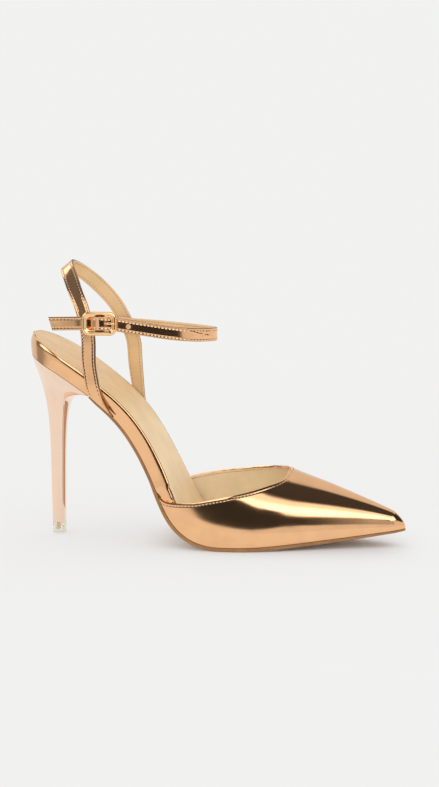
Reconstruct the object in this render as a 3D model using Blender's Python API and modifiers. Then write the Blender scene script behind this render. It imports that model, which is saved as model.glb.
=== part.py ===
"""High heel shoe for the right foot: pointed vamp, bare shank, sling strap, ankle strap and stiletto heel.

Tables and sizes are in millimetres, the scene is in metres. +X runs to the toe, +Y to the inner side of
the foot and +Z up. The origin is the middle of the heel tip's rest face, on the floor.
Distances along the sole, called arc, run from the back of the seat to the toe on the insole's top line.
"""
import math

import bmesh
import bpy
import numpy as np
from mathutils import Vector

MM = 0.001
GAP = 0.3
SMOOTH_ANGLE = math.radians(38)
END_STEPS = 7
END_FIRST_TURN = 12
ROUND_SIDES = 16


def table(columns, *rows):
    """A table as one array for each named column."""
    return dict(zip(columns.split(), np.array(rows, float).T))


# The last: its bottom line, outline and instep.
BACK_X = -13.0
SEAT_ROUND = 29.0
TOE_ARC = 282.0
TOE_ROUND = 9.0
BALL_ARC = 178.0
SEAT_TILT_SHARE = 0.1
TOP_LINE = table(
    "arc slope",
    (0, 30), (20, 32), (45, 35.5), (60, 38.5), (75, 46.5), (90, 55.5), (105, 61.5), (122, 65), (140, 67),
    (148, 61), (154.5, 48), (161, 30), (167, 14), (172, 4), (175, 0), (185, 0), (195, -2.2), (228, -4.0),
    (283, -6.6),
)
OUTLINE = table(
    "arc outer inner",
    (30, 29.5, 29.5), (45, 29.0, 29.0), (60, 27.6, 27.6), (75, 26.0, 25.8), (90, 24.9, 24.6),
    (105, 24.5, 24.3), (120, 25.2, 25.5), (135, 27.6, 28.8), (149, 30.0, 32.2), (162, 31.5, 34.6),
    (176, 32.0, 35.8), (188, 31.0, 35.8), (201, 28.1, 34.0), (216, 22.8, 29.8), (231, 17.2, 24.6),
    (246, 12.0, 18.8), (261, 7.2, 12.8), (273, 3.6, 8.2), (282, 1.4, 5.4),
)
INSTEP = table(
    "x z",
    (68, 85), (85, 76), (100, 67.5), (115, 59.5), (130, 51.8), (144.5, 44.6), (156, 40.4), (168, 36.2),
    (180, 31.6), (192, 26.9), (204, 21.8), (214, 17.4),
)

# Insole board, its cover and the outsole.
BOARD = table(
    "arc thickness undercut tuck",
    (0, 11.0, 0.8, 0), (15, 9.2, 1.4, 0), (30, 8.2, 1.4, 0), (60, 7.9, 1.2, 0), (110, 7.9, 1.0, 0),
    (127, 7.9, 0.8, 0), (133, 7.7, 0.3, 1.75), (145, 6.6, 0, 1.75), (158, 4.4, 0, 1.75), (167, 3.6, 0, 1.75),
    (190, 3.6, 0, 1.75), (236, 3.0, 0, 1.75), (282, 2.2, 0, 1.9),
)
BOARD_SPACING = 3.4
OUTER_TUCK_DELAY = 8.6
BOARD_EDGE_ROUND = 1.5
EDGE_SHARE = 0.3
BOARD_TOE_STOP = 2.8
SOCK_SPACING = 4.6
SOCK_THICKNESS = 1.0
SOCK_EDGE_ROUND = 0.45
SOCK_INSET = 1.6
SOCK_VAMP_INSET = 0.6
SOCK_END_ARC = 256.0
OUTSOLE_SPACING = 4.0
OUTSOLE_START_ARC = 55.2
OUTSOLE_EDGE_ROUND = 0.7
OUTSOLE_EDGE_SHARE = 0.6
OUTSOLE = table(
    "arc thickness margin",
    (54, 0.8, -2.0), (64, 1.8, -2.0), (100, 2.0, -1.8), (122, 2.0, -1.4), (134, 2.0, 0.0), (146, 2.0, 0.4),
    (160, 2.0, 0.4), (175, 2.2, 0.4), (190, 2.2, 0.4), (236, 1.9, 0.4), (282, 1.2, 0.3),
)

# Vamp.
WALL = 1.4
VAMP_BACK_X = 70.4
THROAT_START_X = 134.0
THROAT_X = 144.5
SECTION_POWER = 2.1
NOSE_ROUND = 8.0
NOSE_LAST_TURN = 86
BACK_ROWS = 19
THROAT_ROWS = 6
FRONT_ROWS = 15
NOSE_ROWS = 7
VAMP_COLUMNS = 9
TOPLINE = table(
    "x outer inner",
    (68, 32.5, 33.5), (71, 29.0, 32.0), (74, 27.7, 32.0), (80, 27.2, 33.4), (90, 27.5, 35.8),
    (101, 29.6, 37.9), (112, 31.9, 39.6), (123, 34.3, 41.4), (134, 37.4, 43.2), (140, 39.6, 44.2),
    (143, 41.9, 44.6), (144.5, 44.6, 44.6),
)

# Heel, heel tip and the dowel that holds the tip.
HEEL_FRONT_ARC = 54.6
HEEL_TOP_INSET = 0.2
HEEL_ROUND_SHARE = 0.62
HEEL_STEPS = 14
HEEL_FIRST_TURN = 9
HEEL_SPACING = 4.4
HEEL = table(
    "back_x back_z front_x front_z half seat_share",
    (-3.9, 7.1, 3.6, 7.1, 3.8, 0), (-4.2, 26, 3.9, 26, 4.0, 0), (-4.4, 46, 4.2, 46, 4.2, 0),
    (-4.8, 63, 4.75, 63, 4.9, 0), (-5.7, 75.5, 5.7, 74.5, 6.1, 0), (-7.2, 85.4, 6.9, 81.5, 8.0, 0.05),
    (-8.6, 92, 8.8, 85.6, 11, 0.15), (-10.1, 99, 12.9, 87.4, 16, 0.4), (-11.7, 105, 18.2, 88.6, 21.5, 0.7),
    (-12.8, 109.8, 23.5, 89.2, 26, 0.9),
)
TIP = table(
    "back_x back_z front_x front_z half seat_share",
    (-3.7, 0, 3.5, 0, 3.7, 0), (-3.85, 0.5, 3.65, 0.5, 3.85, 0), (-3.85, 6.8, 3.65, 6.8, 3.85, 0),
)
DOWEL_RADIUS = 1.3
DOWEL_BOTTOM = 2.6
DOWEL_TOP = 12.0

# Straps: each row gives the rear and the front edge of a strap at one place along it.
STRAP_CHAMFER = 0.4
SLING_THICKNESS = 2.0
SLING_STEPS = 64
SLING = table(
    "rear_x rear_y rear_z front_x front_y front_z",
    (29.8, -29.0, 88.9, 43.4, -27.2, 76.9), (28.6, -29.6, 91.4, 38.4, -28.4, 84.0),
    (27.4, -30.1, 95.6, 36.2, -29.4, 92.0), (25.2, -29.4, 110.0, 33.6, -29.25, 106.5),
    (24.4, -27.9, 124.8, 32.9, -27.95, 124.0),
    (20.4, -25.6, 139.3, 28.6, -25.5, 140.5), (15.2, -21.8, 148.8, 23.2, -20.8, 151.2),
    (10.2, -15.0, 157.0, 17.8, -13.0, 160.6), (6.2, -7.0, 162.0, 13.0, -5.8, 167.0),
    (5.0, 0.5, 163.0, 11.7, 0.8, 168.8), (7.4, 7.5, 161.2, 13.2, 8.2, 167.6),
    (13.3, 13.5, 156.3, 17.6, 15.2, 163.9), (20.0, 19.5, 149.0, 25.0, 22.3, 156.2),
    (27.2, 25.0, 139.2, 33.6, 26.4, 145.5), (33.5, 28.0, 127.0, 41.2, 28.4, 131.0),
    (36.6, 28.9, 119.0, 45.6, 28.7, 120.8), (38.0, 28.9, 104.0, 47.0, 28.2, 106.0),
    (39.8, 28.7, 92.0, 48.4, 27.7, 88.0), (42.5, 26.8, 76.2, 51.5, 25.4, 65.8),
)
ANKLE_WIDTH = 7.8
ANKLE_THICKNESS = 1.8
ANKLE_TAIL_SLANT = 2.3
ANKLE_TAIL_RINGS = 4
ANKLE_BUCKLE_ROW = 12
ANKLE_HALF_STEPS = 48
ANKLE = table(
    "x y z",
    (33, 23.6, 129.8), (42, 25.4, 128.9), (60, 25.4, 127.6), (75, 21.0, 126.5), (88, 14.0, 125.6),
    (96.5, 6.5, 125.0), (99.6, -1.0, 124.8), (96.8, -8.5, 124.7), (88.5, -17.0, 125.0), (76, -23.8, 126.3),
    (62, -28.0, 128.6), (50, -29.35, 130.5), (46.2, -29.7, 131.1), (43.4, -29.8, 131.45),
    (40.4, -31.3, 131.7), (36.9, -32.9, 131.75), (33.4, -31.3, 131.75), (30.4, -29.8, 131.75),
    (27.4, -29.62, 131.7), (22, -29.9, 131.65), (14, -30.36, 131.5), (6.9, -30.74, 131.4),
)
HOLE_RADIUS = 1.2
HOLE_DEPTH = 6.0
SPARE_HOLE_X = 53.5

# Buckle and its prong.
BUCKLE_CENTRE = (36.7, -32.1, 131.7)
BUCKLE_OUTER = (20.8, 13.9)
BUCKLE_OPENING = (14.6, 8.5)
BUCKLE_OUTER_ROUND = 3.4
BUCKLE_INNER_ROUND = 1.4
BUCKLE_DEPTH = 2.4
BUCKLE_RIDGE_SHARE = 0.45
BUCKLE_SLOPE = 1.4
BUCKLE_BEVEL = 0.45
BAR_RADIUS = 0.7
BAR_Y = -31.0
PRONG_RADIUS = 0.55
PRONG = table(
    "x y",
    (38.5, -31.0), (39.6, -31.8), (41.4, -33.2), (42.8, -34.0), (44.4, -34.3), (46.6, -34.2),
)

# Finish of each material: base colour, roughness, metallic.
FINISHES = {
    "mirror_rose_gold": ((0.81, 0.50, 0.32), 0.12, 1.0),
    "plated_rose_gold": ((0.90, 0.62, 0.50), 0.10, 1.0),
    "tan_sole": ((0.40, 0.19, 0.06), 0.45, 0.0),
    "beige_lining": ((0.78, 0.60, 0.36), 0.60, 0.0),
    "clear_tip": ((0.86, 0.85, 0.76), 0.15, 0.0),
    "bright_gold": ((0.95, 0.66, 0.36), 0.10, 1.0),
    "brass_pin": ((0.60, 0.40, 0.18), 0.30, 1.0),
}


def along(tab, name, at, free=False):
    """Smooth reading of a table's column against its first column, never overshooting unless it is free."""
    keys = next(iter(tab.values()))
    values = tab[name]
    last = len(keys) - 1
    at = min(max(at, keys[0]), keys[-1])
    i = min(max(int(np.searchsorted(keys, at)) - 1, 0), last - 1)
    rises = np.diff(values) / np.diff(keys)

    def slope(k):
        before = rises[max(k - 1, 0)]
        after = rises[min(k, last - 1)]
        if free:
            return (before + after) / 2
        return 0.0 if before * after <= 0 else 2 * before * after / (before + after)

    step = keys[i + 1] - keys[i]
    u = (at - keys[i]) / step
    hold = (1 + 2 * u) * (1 - u) ** 2 * values[i] + u * u * (3 - 2 * u) * values[i + 1]
    return hold + step * u * (1 - u) * ((1 - u) * slope(i) - u * slope(i + 1))


def integrate_top_line():
    """Arc, x, z and slope of the insole's top line, lifted so that the ball of the sole is on the floor."""
    arc = np.arange(0, TOE_ARC + 1)
    slope = np.radians(np.interp(arc, TOP_LINE["arc"], TOP_LINE["slope"]))
    mean = (slope[1:] + slope[:-1]) / 2
    x = BACK_X + np.concatenate([[0], np.cumsum(np.cos(mean))])
    z = -np.concatenate([[0], np.cumsum(np.sin(mean))])
    ball_depth = along(BOARD, "thickness", BALL_ARC) + GAP + along(OUTSOLE, "thickness", BALL_ARC)
    return arc, x, z - np.interp(BALL_ARC, arc, z) + ball_depth, slope


LINE_ARC, LINE_X, LINE_Z, LINE_SLOPE = integrate_top_line()


def under(arc, y, depth):
    """Point at a depth below the insole's top line, square to it but steeper at the back of the seat."""
    x = np.interp(arc, LINE_ARC, LINE_X)
    z = np.interp(arc, LINE_ARC, LINE_Z)
    share = SEAT_TILT_SHARE + (1 - SEAT_TILT_SHARE) * min(arc / SEAT_ROUND, 1)
    tilt = share * np.interp(arc, LINE_ARC, LINE_SLOPE)
    return (x - math.sin(tilt) * depth, y, z - math.cos(tilt) * depth)


def outline(arc, inset=0.0):
    """Outer and inner edge, as y, of the last's outline, drawn in by an inset and rounded at both ends."""
    outer = along(OUTLINE, "outer", arc)
    inner = along(OUTLINE, "inner", arc)
    half = (outer + inner) / 2 - inset
    toe_start = TOE_ARC - TOE_ROUND
    end = 0.0
    if arc < SEAT_ROUND:
        end = (SEAT_ROUND - arc) / (SEAT_ROUND - inset)
    if arc > toe_start:
        end = (arc - toe_start) / (TOE_ARC - inset - toe_start)
    half *= math.sqrt(max(1 - end * end, 0.0))
    middle = (inner - outer) / 2
    return middle - half, middle + half


def stations(start, stop, spacing, round_start=0.0, round_stop=0.0):
    """Arcs from start to stop, closer together where an end is rounded."""
    turns = np.radians(np.linspace(END_FIRST_TURN, 90, END_STEPS))
    first = start + round_start * (1 - np.sin(turns[::-1])) if round_start else [start]
    final = stop - round_stop * (1 - np.sin(turns)) if round_stop else [stop]
    count = max(int((final[0] - first[-1]) / spacing), 1)
    middle = np.linspace(first[-1], final[0], count + 1)[1:-1]
    return np.concatenate([np.sort(first), middle, np.sort(final)])


def material(name):
    """Principled material with one of the named finishes."""
    found = bpy.data.materials.get(name)
    if found:
        return found
    colour, roughness, metallic = FINISHES[name]
    made = bpy.data.materials.new(name)
    made.use_nodes = True
    shader = made.node_tree.nodes["Principled BSDF"]
    shader.inputs["Base Color"].default_value = (*colour, 1)
    shader.inputs["Roughness"].default_value = roughness
    shader.inputs["Metallic"].default_value = metallic
    return made


def collection(name):
    """A collection of that name under the scene."""
    made = bpy.data.collections.new(name)
    bpy.context.scene.collection.children.link(made)
    return made


def add_object(name, mesh, finish, group):
    """Object with its material, shaded smooth across soft edges."""
    mesh.materials.append(material(finish))
    mesh.shade_smooth()
    mesh.set_sharp_from_angle(angle=SMOOTH_ANGLE)
    made = bpy.data.objects.new(name, mesh)
    group.objects.link(made)
    return made


def mesh_from(name, bm):
    """Mesh of a bmesh whose faces point outwards."""
    bmesh.ops.recalc_face_normals(bm, faces=bm.faces[:])
    mesh = bpy.data.meshes.new(name)
    bm.to_mesh(mesh)
    bm.free()
    return mesh


def loft(name, rings, closed=False):
    """Solid through rings of equal length, with a ladder of faces across each end unless it is closed."""
    bm = bmesh.new()
    loops = [[bm.verts.new(Vector(point) * MM) for point in ring] for ring in rings]
    size = len(loops[0])
    pairs = list(zip(loops, loops[1:]))
    if closed:
        pairs.append((loops[-1], loops[0]))
    for first, second in pairs:
        for i in range(size):
            j = (i + 1) % size
            bm.faces.new((first[i], first[j], second[j], second[i]))
    if not closed:
        for ring in (loops[0], loops[-1]):
            for i in range(size // 2 - 1):
                bm.faces.new((ring[i], ring[i + 1], ring[size - 2 - i], ring[size - 1 - i]))
    return mesh_from(name, bm)


def drill(target, cutters, centre, direction, radius, length):
    """Round hole through a piece, by a hidden cylinder."""
    middle = Vector(centre) * MM
    turn = Vector(direction).to_track_quat("Z", "Y").to_euler()
    bpy.ops.mesh.primitive_cylinder_add(
        vertices=ROUND_SIDES, radius=radius * MM, depth=length * MM, location=middle, rotation=turn
    )
    cutter = bpy.context.object
    cutter.name = target.name + "_hole"
    cut = target.modifiers.new("hole", "BOOLEAN")
    cut.operation = "DIFFERENCE"
    cut.object = cutter
    hide_cutter(cutter, cutters)


def hide_cutter(cutter, cutters):
    """Moves a cutter to its own collection and out of the model."""
    for group in list(cutter.users_collection):
        group.objects.unlink(cutter)
    cutters.objects.link(cutter)
    cutter.hide_render = True
    cutter.display_type = "WIRE"


def board_thickness(arc):
    return along(BOARD, "thickness", arc)


def board_edges(arc, depth_share=0.0):
    """Outer and inner y of the board's side at a share of its thickness, tucked in behind the vamp."""
    delay = OUTER_TUCK_DELAY * (1 - depth_share)
    into_toe = max(0.0, (arc - TOE_ARC + TOE_ROUND) / TOE_ROUND)
    insets = []
    for reach in (arc - delay, arc):
        tuck = along(BOARD, "tuck", reach)
        insets.append(tuck + (BOARD_TOE_STOP - tuck) * into_toe)
    outer = outline(arc, insets[0])[0]
    inner = outline(arc, insets[1])[1]
    drawn_in = min(along(BOARD, "undercut", arc) * depth_share, (inner - outer) * EDGE_SHARE)
    return outer + drawn_in, inner - drawn_in


def insole_board(group):
    """Stiff board that carries the foot, with rounded upper edges, from the seat to the toe."""
    rings = []
    for arc in stations(0, TOE_ARC - BOARD_TOE_STOP, BOARD_SPACING, SEAT_ROUND, TOE_ROUND - BOARD_TOE_STOP):
        outer, inner = board_edges(arc)
        low_outer, low_inner = board_edges(arc, 1.0)
        thick = board_thickness(arc)
        soft = min(BOARD_EDGE_ROUND, (inner - outer) * EDGE_SHARE, thick / 2)
        mid = soft * EDGE_SHARE
        near = [(low_outer, thick), (outer, soft), (outer + mid, mid), (outer + soft, 0)]
        far = [(inner - soft, 0), (inner - mid, mid), (inner, soft), (low_inner, thick)]
        rings.append([under(arc, y, depth) for y, depth in near + far])
    return add_object("insole_board", loft("insole_board", rings), "mirror_rose_gold", group)


def sock(group):
    """Thin beige cover on the board, inset from the board's edge."""
    rings = []
    top = -GAP - SOCK_THICKNESS
    for arc in stations(SOCK_INSET, SOCK_END_ARC, SOCK_SPACING, SEAT_ROUND - SOCK_INSET):
        tuck = along(BOARD, "tuck", arc)
        inset = SOCK_INSET + (SOCK_VAMP_INSET + tuck - SOCK_INSET) * min(tuck / WALL, 1)
        outer, inner = outline(arc, inset)
        soft = min(SOCK_EDGE_ROUND, (inner - outer) * EDGE_SHARE)
        near = [(outer, -GAP), (outer, top + soft), (outer + soft, top)]
        far = [(inner - soft, top), (inner, top + soft), (inner, -GAP)]
        rings.append([under(arc, y, depth) for y, depth in near + far])
    return add_object("sock", loft("sock", rings), "beige_lining", group)


def outsole(group):
    """Thin sole from the heel's breast to the toe, flat across, with the ball flat on the floor."""
    rings = []
    for arc in stations(OUTSOLE_START_ARC, TOE_ARC, OUTSOLE_SPACING, 0, TOE_ROUND):
        margin = along(OUTSOLE, "margin", arc)
        outer, inner = outline(arc)
        outer, inner = outer - margin, inner + margin
        top = board_thickness(arc) + GAP
        thick = along(OUTSOLE, "thickness", arc)
        soft = min(OUTSOLE_EDGE_ROUND, (inner - outer) * EDGE_SHARE)
        side = top + thick * OUTSOLE_EDGE_SHARE
        near = [(outer + soft, top + thick), (outer, side), (outer, top)]
        far = [(inner, top), (inner, side), (inner - soft, top + thick)]
        rings.append([under(arc, y, depth) for y, depth in near + far])
    return add_object("outsole", loft("outsole", rings), "tan_sole", group)


FEATHER = np.array([under(arc, 0, board_thickness(arc)) for arc in LINE_ARC])
VAMP_TIP_X = FEATHER[-1, 0]


def vamp_section(x, nose):
    """Base edges, base height, ridge and topline angles of the vamp's upright section at x."""
    arc = float(np.interp(x, FEATHER[:, 0], LINE_ARC))
    base = float(np.interp(x, FEATHER[:, 0], FEATHER[:, 2]))
    outer, inner = outline(arc)
    middle = (along(OUTLINE, "inner", arc) - along(OUTLINE, "outer", arc)) / 2
    height = (along(INSTEP, "z", x) - base) * nose
    angles = []
    for side in ("outer", "inner"):
        share = 1.0
        if x < THROAT_X:
            share = min((along(TOPLINE, side, x) - base) / height, 1.0)
        angles.append(math.asin(share ** (SECTION_POWER / 2)))
    return outer, inner, base, middle, height, angles


def vamp_rows():
    """Places of the vamp's sections, closer together at the throat and at the nose."""
    back = np.linspace(VAMP_BACK_X, THROAT_START_X, BACK_ROWS)
    throat_turns = np.radians(np.linspace(0, 90, THROAT_ROWS + 1)[1:])
    throat = THROAT_START_X + (THROAT_X - THROAT_START_X) * np.sin(throat_turns)
    front = np.linspace(THROAT_X, VAMP_TIP_X - NOSE_ROUND, FRONT_ROWS)[1:]
    nose_turns = np.radians(np.linspace(0, NOSE_LAST_TURN, NOSE_ROWS + 1)[1:])
    nose = VAMP_TIP_X - NOSE_ROUND * (1 - np.sin(nose_turns))
    return np.concatenate([back, throat, front, nose])


def vamp(group):
    """Hollow pointed upper: one wall from feather edge to topline on both sides, joined over the toes."""
    bm = bmesh.new()
    power = 2 / SECTION_POWER
    sides = {-1: [], 1: []}
    for x in vamp_rows():
        into_nose = max(0.0, (x - VAMP_TIP_X + NOSE_ROUND) / NOSE_ROUND)
        outer, inner, base, middle, height, angles = vamp_section(x, math.sqrt(1 - into_nose ** 2))
        shared = None
        for side, edge, angle in ((-1, outer, angles[0]), (1, inner, angles[1])):
            row = []
            for j in range(VAMP_COLUMNS + 1):
                turn = angle * j / VAMP_COLUMNS
                if j == VAMP_COLUMNS and shared:
                    row.append(shared)
                    continue
                y = middle + (edge - middle) * max(math.cos(turn), 0.0) ** power
                z = base + height * math.sin(turn) ** power
                row.append(bm.verts.new(Vector((x, y, z)) * MM))
            if x >= THROAT_X:
                shared = row[-1]
            sides[side].append(row)
    tip = bm.verts.new(Vector((VAMP_TIP_X, outline(TOE_ARC)[0], FEATHER[-1, 2])) * MM)
    for side, rows in sides.items():
        for first, second in zip(rows, rows[1:]):
            for j in range(VAMP_COLUMNS):
                corners = (first[j], first[j + 1], second[j + 1], second[j])
                bm.faces.new(corners if side < 0 else corners[::-1])
        for j in range(VAMP_COLUMNS):
            corners = (rows[-1][j], rows[-1][j + 1], tip)
            bm.faces.new(corners if side < 0 else corners[::-1])
    made = add_object("vamp", mesh_from("vamp", bm), "mirror_rose_gold", group)
    wall = made.modifiers.new("wall", "SOLIDIFY")
    wall.thickness = WALL * MM
    wall.offset = -1
    wall.use_even_offset = True
    return made


def heel_share(a):
    """Half width of the stem's D-shaped section at a share of the way from its back to its breast."""
    return math.sqrt(1 - (1 - min(a / HEEL_ROUND_SHARE, 1)) ** 2)


def heel_arcs():
    """Shares from back to breast, closer together at the rounded back."""
    turns = np.radians(np.linspace(HEEL_FIRST_TURN, 90, HEEL_STEPS))
    return 1 - np.cos(turns)


def seat_ring():
    """Top edge of the heel, just under the insole board, and its half widths."""
    near = []
    for a in heel_arcs():
        arc = HEEL_TOP_INSET + a * (HEEL_FRONT_ARC - HEEL_TOP_INSET)
        outer, inner = board_edges(arc, 1.0)
        y = min(outer + HEEL_TOP_INSET, 0.0)
        near.append(under(arc, y, board_thickness(arc) + GAP))
    return near


def heel_ring(rows, i, seat):
    """Section of the heel at a row of its table, between the stem's form and the seat's."""
    widest = max(-point[1] for point in seat)
    near = []
    for a, seat_point in zip(heel_arcs(), seat):
        share = rows["seat_share"][i]
        half = rows["half"][i] * ((1 - share) * heel_share(a) - share * seat_point[1] / widest)
        x = rows["back_x"][i] + a * (rows["front_x"][i] - rows["back_x"][i])
        z = rows["back_z"][i] + a * (rows["front_z"][i] - rows["back_z"][i])
        near.append((x, -half, z))
    return near + [(x, -y, z) for x, y, z in reversed(near)]


def smooth_rows(rows, spacing):
    """The rows of a heel table, read smoothly at an even spacing of their mean height."""
    heights = (rows["back_z"] + rows["front_z"]) / 2
    keyed = {"height": heights, **rows}
    count = max(int((heights[-1] - heights[0]) / spacing), 1)
    levels = np.linspace(heights[0], heights[-1], count + 1)
    return {name: np.array([along(keyed, name, level) for level in levels]) for name in rows}


def heel(group, cutters):
    """Slim heel from its flared seat under the board down to a D-shaped stem, bored for the dowel."""
    seat = seat_ring()
    rows = smooth_rows(HEEL, HEEL_SPACING)
    rings = [heel_ring(rows, i, seat) for i in range(len(rows["half"]))]
    rings.append(seat + [(x, -y, z) for x, y, z in reversed(seat)])
    made = add_object("heel", loft("heel", rings), "plated_rose_gold", group)
    bore_dowel(made, cutters)
    return made


def heel_tip(group, cutters):
    """Clear rest piece under the stem, flat on the floor."""
    seat = seat_ring()
    rings = [heel_ring(TIP, i, seat) for i in range(len(TIP["half"]))]
    made = add_object("heel_tip", loft("heel_tip", rings), "clear_tip", group)
    bore_dowel(made, cutters)
    return made


def bore_dowel(target, cutters):
    """Room for the dowel, with a gap all round."""
    middle = (0, 0, (DOWEL_BOTTOM + DOWEL_TOP) / 2)
    length = DOWEL_TOP - DOWEL_BOTTOM + 2 * GAP
    drill(target, cutters, middle, (0, 0, 1), DOWEL_RADIUS + GAP, length)


def tip_dowel(group):
    """Round pin that joins the tip to the stem."""
    bm = bmesh.new()
    length = (DOWEL_TOP - DOWEL_BOTTOM) * MM
    radius = DOWEL_RADIUS * MM
    bmesh.ops.create_cone(
        bm, cap_ends=True, segments=ROUND_SIDES, radius1=radius, radius2=radius, depth=length
    )
    bmesh.ops.translate(bm, verts=bm.verts, vec=(0, 0, (DOWEL_BOTTOM + DOWEL_TOP) / 2 * MM))
    return add_object("tip_dowel", mesh_from("tip_dowel", bm), "brass_pin", group)


def strap_ring(rear, front, run, thickness):
    """Chamfered strap section between its rear and front edges, square to the way it runs."""
    rear = Vector(rear)
    front = Vector(front)
    across = (front - rear).normalized()
    out = Vector(run).cross(across).normalized() * (thickness / 2)
    c = STRAP_CHAMFER
    thin = out * (1 - 2 * c / thickness)
    near = [rear + thin, rear + out + across * c, front + out - across * c, front + thin]
    far = [front - thin, front - out - across * c, rear - out + across * c, rear - thin]
    return near + far


def keyed_by_length(rows, names):
    """The rows with a first column that measures the way along them through the named columns."""
    points = np.stack([rows[name] for name in names], -1)
    steps = np.linalg.norm(np.diff(points, axis=0), axis=1)
    return {"way": np.concatenate([[0], np.cumsum(steps)]), **rows}


def sling_edges(way, rows):
    """Rear and front edge of the sling strap at a way along it."""
    rear = [along(rows, name, way, free=True) for name in ("rear_x", "rear_y", "rear_z")]
    front = [along(rows, name, way, free=True) for name in ("front_x", "front_y", "front_z")]
    return np.array(rear), np.array(front)


def sling_strap(group):
    """Strap from the outer side of the shank up round the back of the ankle and down to the inner side."""
    rows = keyed_by_length(SLING, ("rear_x", "rear_y", "rear_z"))
    ways = np.linspace(0, rows["way"][-1], SLING_STEPS)
    edges = [sling_edges(way, rows) for way in ways]
    middles = np.array([(rear + front) / 2 for rear, front in edges])
    runs = np.gradient(middles, axis=0)
    rings = [strap_ring(rear, front, run, SLING_THICKNESS) for (rear, front), run in zip(edges, runs)]
    return add_object("sling_strap", loft("sling_strap", rings), "mirror_rose_gold", group)


def ankle_path():
    """Middle line of the ankle strap and the way it runs, from its inner end round to its tail."""
    rows = keyed_by_length(ANKLE, ("x", "y", "z"))
    buckle_start = rows["way"][ANKLE_BUCKLE_ROW]
    ways = np.concatenate([
        np.linspace(0, buckle_start, ANKLE_HALF_STEPS)[:-1],
        np.linspace(buckle_start, rows["way"][-1], ANKLE_HALF_STEPS),
    ])
    points = np.array([[along(rows, name, way, free=True) for name in ("x", "y", "z")] for way in ways])
    return points, np.gradient(points, ways, axis=0)


def ankle_strap(group, cutters):
    """Upright strap round the front of the ankle, through the buckle, with a slanted tail and two holes."""
    points, runs = ankle_path()
    half = ANKLE_WIDTH / 2
    rings = []
    for i, (point, run) in enumerate(zip(points, runs)):
        slant = ANKLE_TAIL_SLANT / 2 * max(0.0, 1 - (len(points) - 1 - i) / ANKLE_TAIL_RINGS)
        low = point + np.array([slant, 0, -half])
        high = point + np.array([-slant, 0, half])
        rings.append(strap_ring(low, high, run, ANKLE_THICKNESS))
    made = add_object("ankle_strap", loft("ankle_strap", rings), "mirror_rose_gold", group)
    prong_hole, spare_hole = hole_places(points)
    prong_way = (PRONG["x"][2] - PRONG["x"][1], PRONG["y"][2] - PRONG["y"][1], 0)
    drill(made, cutters, prong_hole, prong_way, HOLE_RADIUS, HOLE_DEPTH)
    drill(made, cutters, spare_hole, (0, 1, 0), HOLE_RADIUS, HOLE_DEPTH)
    return made


def hole_places(points):
    """Where the prong passes the strap, and where the spare hole lies on its outer run."""
    level = BUCKLE_CENTRE[2]
    prong = ((PRONG["x"][1] + PRONG["x"][2]) / 2, (PRONG["y"][1] + PRONG["y"][2]) / 2, level)
    outer_run = points[points[:, 1] < 0]
    spare = outer_run[np.argmin(abs(outer_run[:, 0] - SPARE_HOLE_X))]
    return prong, tuple(spare)


def rounded_frame(size, radius, corner_steps=5):
    """Points round a rectangle with rounded corners, as x and z from its middle."""
    points = []
    for quarter, (sign_x, sign_z) in enumerate(((1, 1), (-1, 1), (-1, -1), (1, -1))):
        corner_x = sign_x * (size[0] / 2 - radius)
        corner_z = sign_z * (size[1] / 2 - radius)
        for k in range(corner_steps):
            turn = math.radians(90 * quarter + 90 * k / (corner_steps - 1))
            points.append((corner_x + radius * math.cos(turn), corner_z + radius * math.sin(turn)))
    return points


def buckle(group, cutters):
    """Rounded frame, sloped into its opening, with a bar across its middle that the strap passes over."""
    x, y, z = BUCKLE_CENTRE
    half = BUCKLE_DEPTH / 2
    outside = rounded_frame(BUCKLE_OUTER, BUCKLE_OUTER_ROUND)
    inside = rounded_frame(BUCKLE_OPENING, BUCKLE_INNER_ROUND)
    rings = []
    for (out_x, out_z), (in_x, in_z) in zip(outside, inside):
        ridge_x = out_x + (in_x - out_x) * BUCKLE_RIDGE_SHARE
        ridge_z = out_z + (in_z - out_z) * BUCKLE_RIDGE_SHARE
        front = ((out_x, -half, out_z), (ridge_x, -half, ridge_z), (in_x, BUCKLE_SLOPE - half, in_z))
        edges = (*front, (in_x, half, in_z), (out_x, half, out_z))
        rings.append([(x + dx, y + dy, z + dz) for dx, dy, dz in edges])
    made = add_object("buckle", loft("buckle", rings, closed=True), "bright_gold", group)
    soften = made.modifiers.new("edge", "BEVEL")
    soften.width = BUCKLE_BEVEL * MM
    soften.segments = 2
    soften.limit_method = "ANGLE"
    soften.angle_limit = SMOOTH_ANGLE
    bar_length = (BUCKLE_OUTER[1] + BUCKLE_OPENING[1]) / 2
    bar_place = Vector((x, BAR_Y, z)) * MM
    bpy.ops.mesh.primitive_cylinder_add(
        vertices=ROUND_SIDES, radius=BAR_RADIUS * MM, depth=bar_length * MM, location=bar_place
    )
    bar = bpy.context.object
    bar.name = "buckle_bar"
    join = made.modifiers.new("bar", "BOOLEAN")
    join.operation = "UNION"
    join.object = bar
    hide_cutter(bar, cutters)
    return made


def prong(group):
    """Bent pin from the bar through the strap's hole to the front side of the frame."""
    line = bpy.data.curves.new("prong", "CURVE")
    line.dimensions = "3D"
    line.bevel_depth = PRONG_RADIUS * MM
    line.bevel_resolution = 2
    line.use_fill_caps = True
    spline = line.splines.new("POLY")
    spline.points.add(len(PRONG["x"]) - 1)
    for point, x, y in zip(spline.points, PRONG["x"], PRONG["y"]):
        point.co = (x * MM, y * MM, BUCKLE_CENTRE[2] * MM, 1)
    line.materials.append(material("bright_gold"))
    made = bpy.data.objects.new("prong", line)
    group.objects.link(made)
    return made


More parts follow.
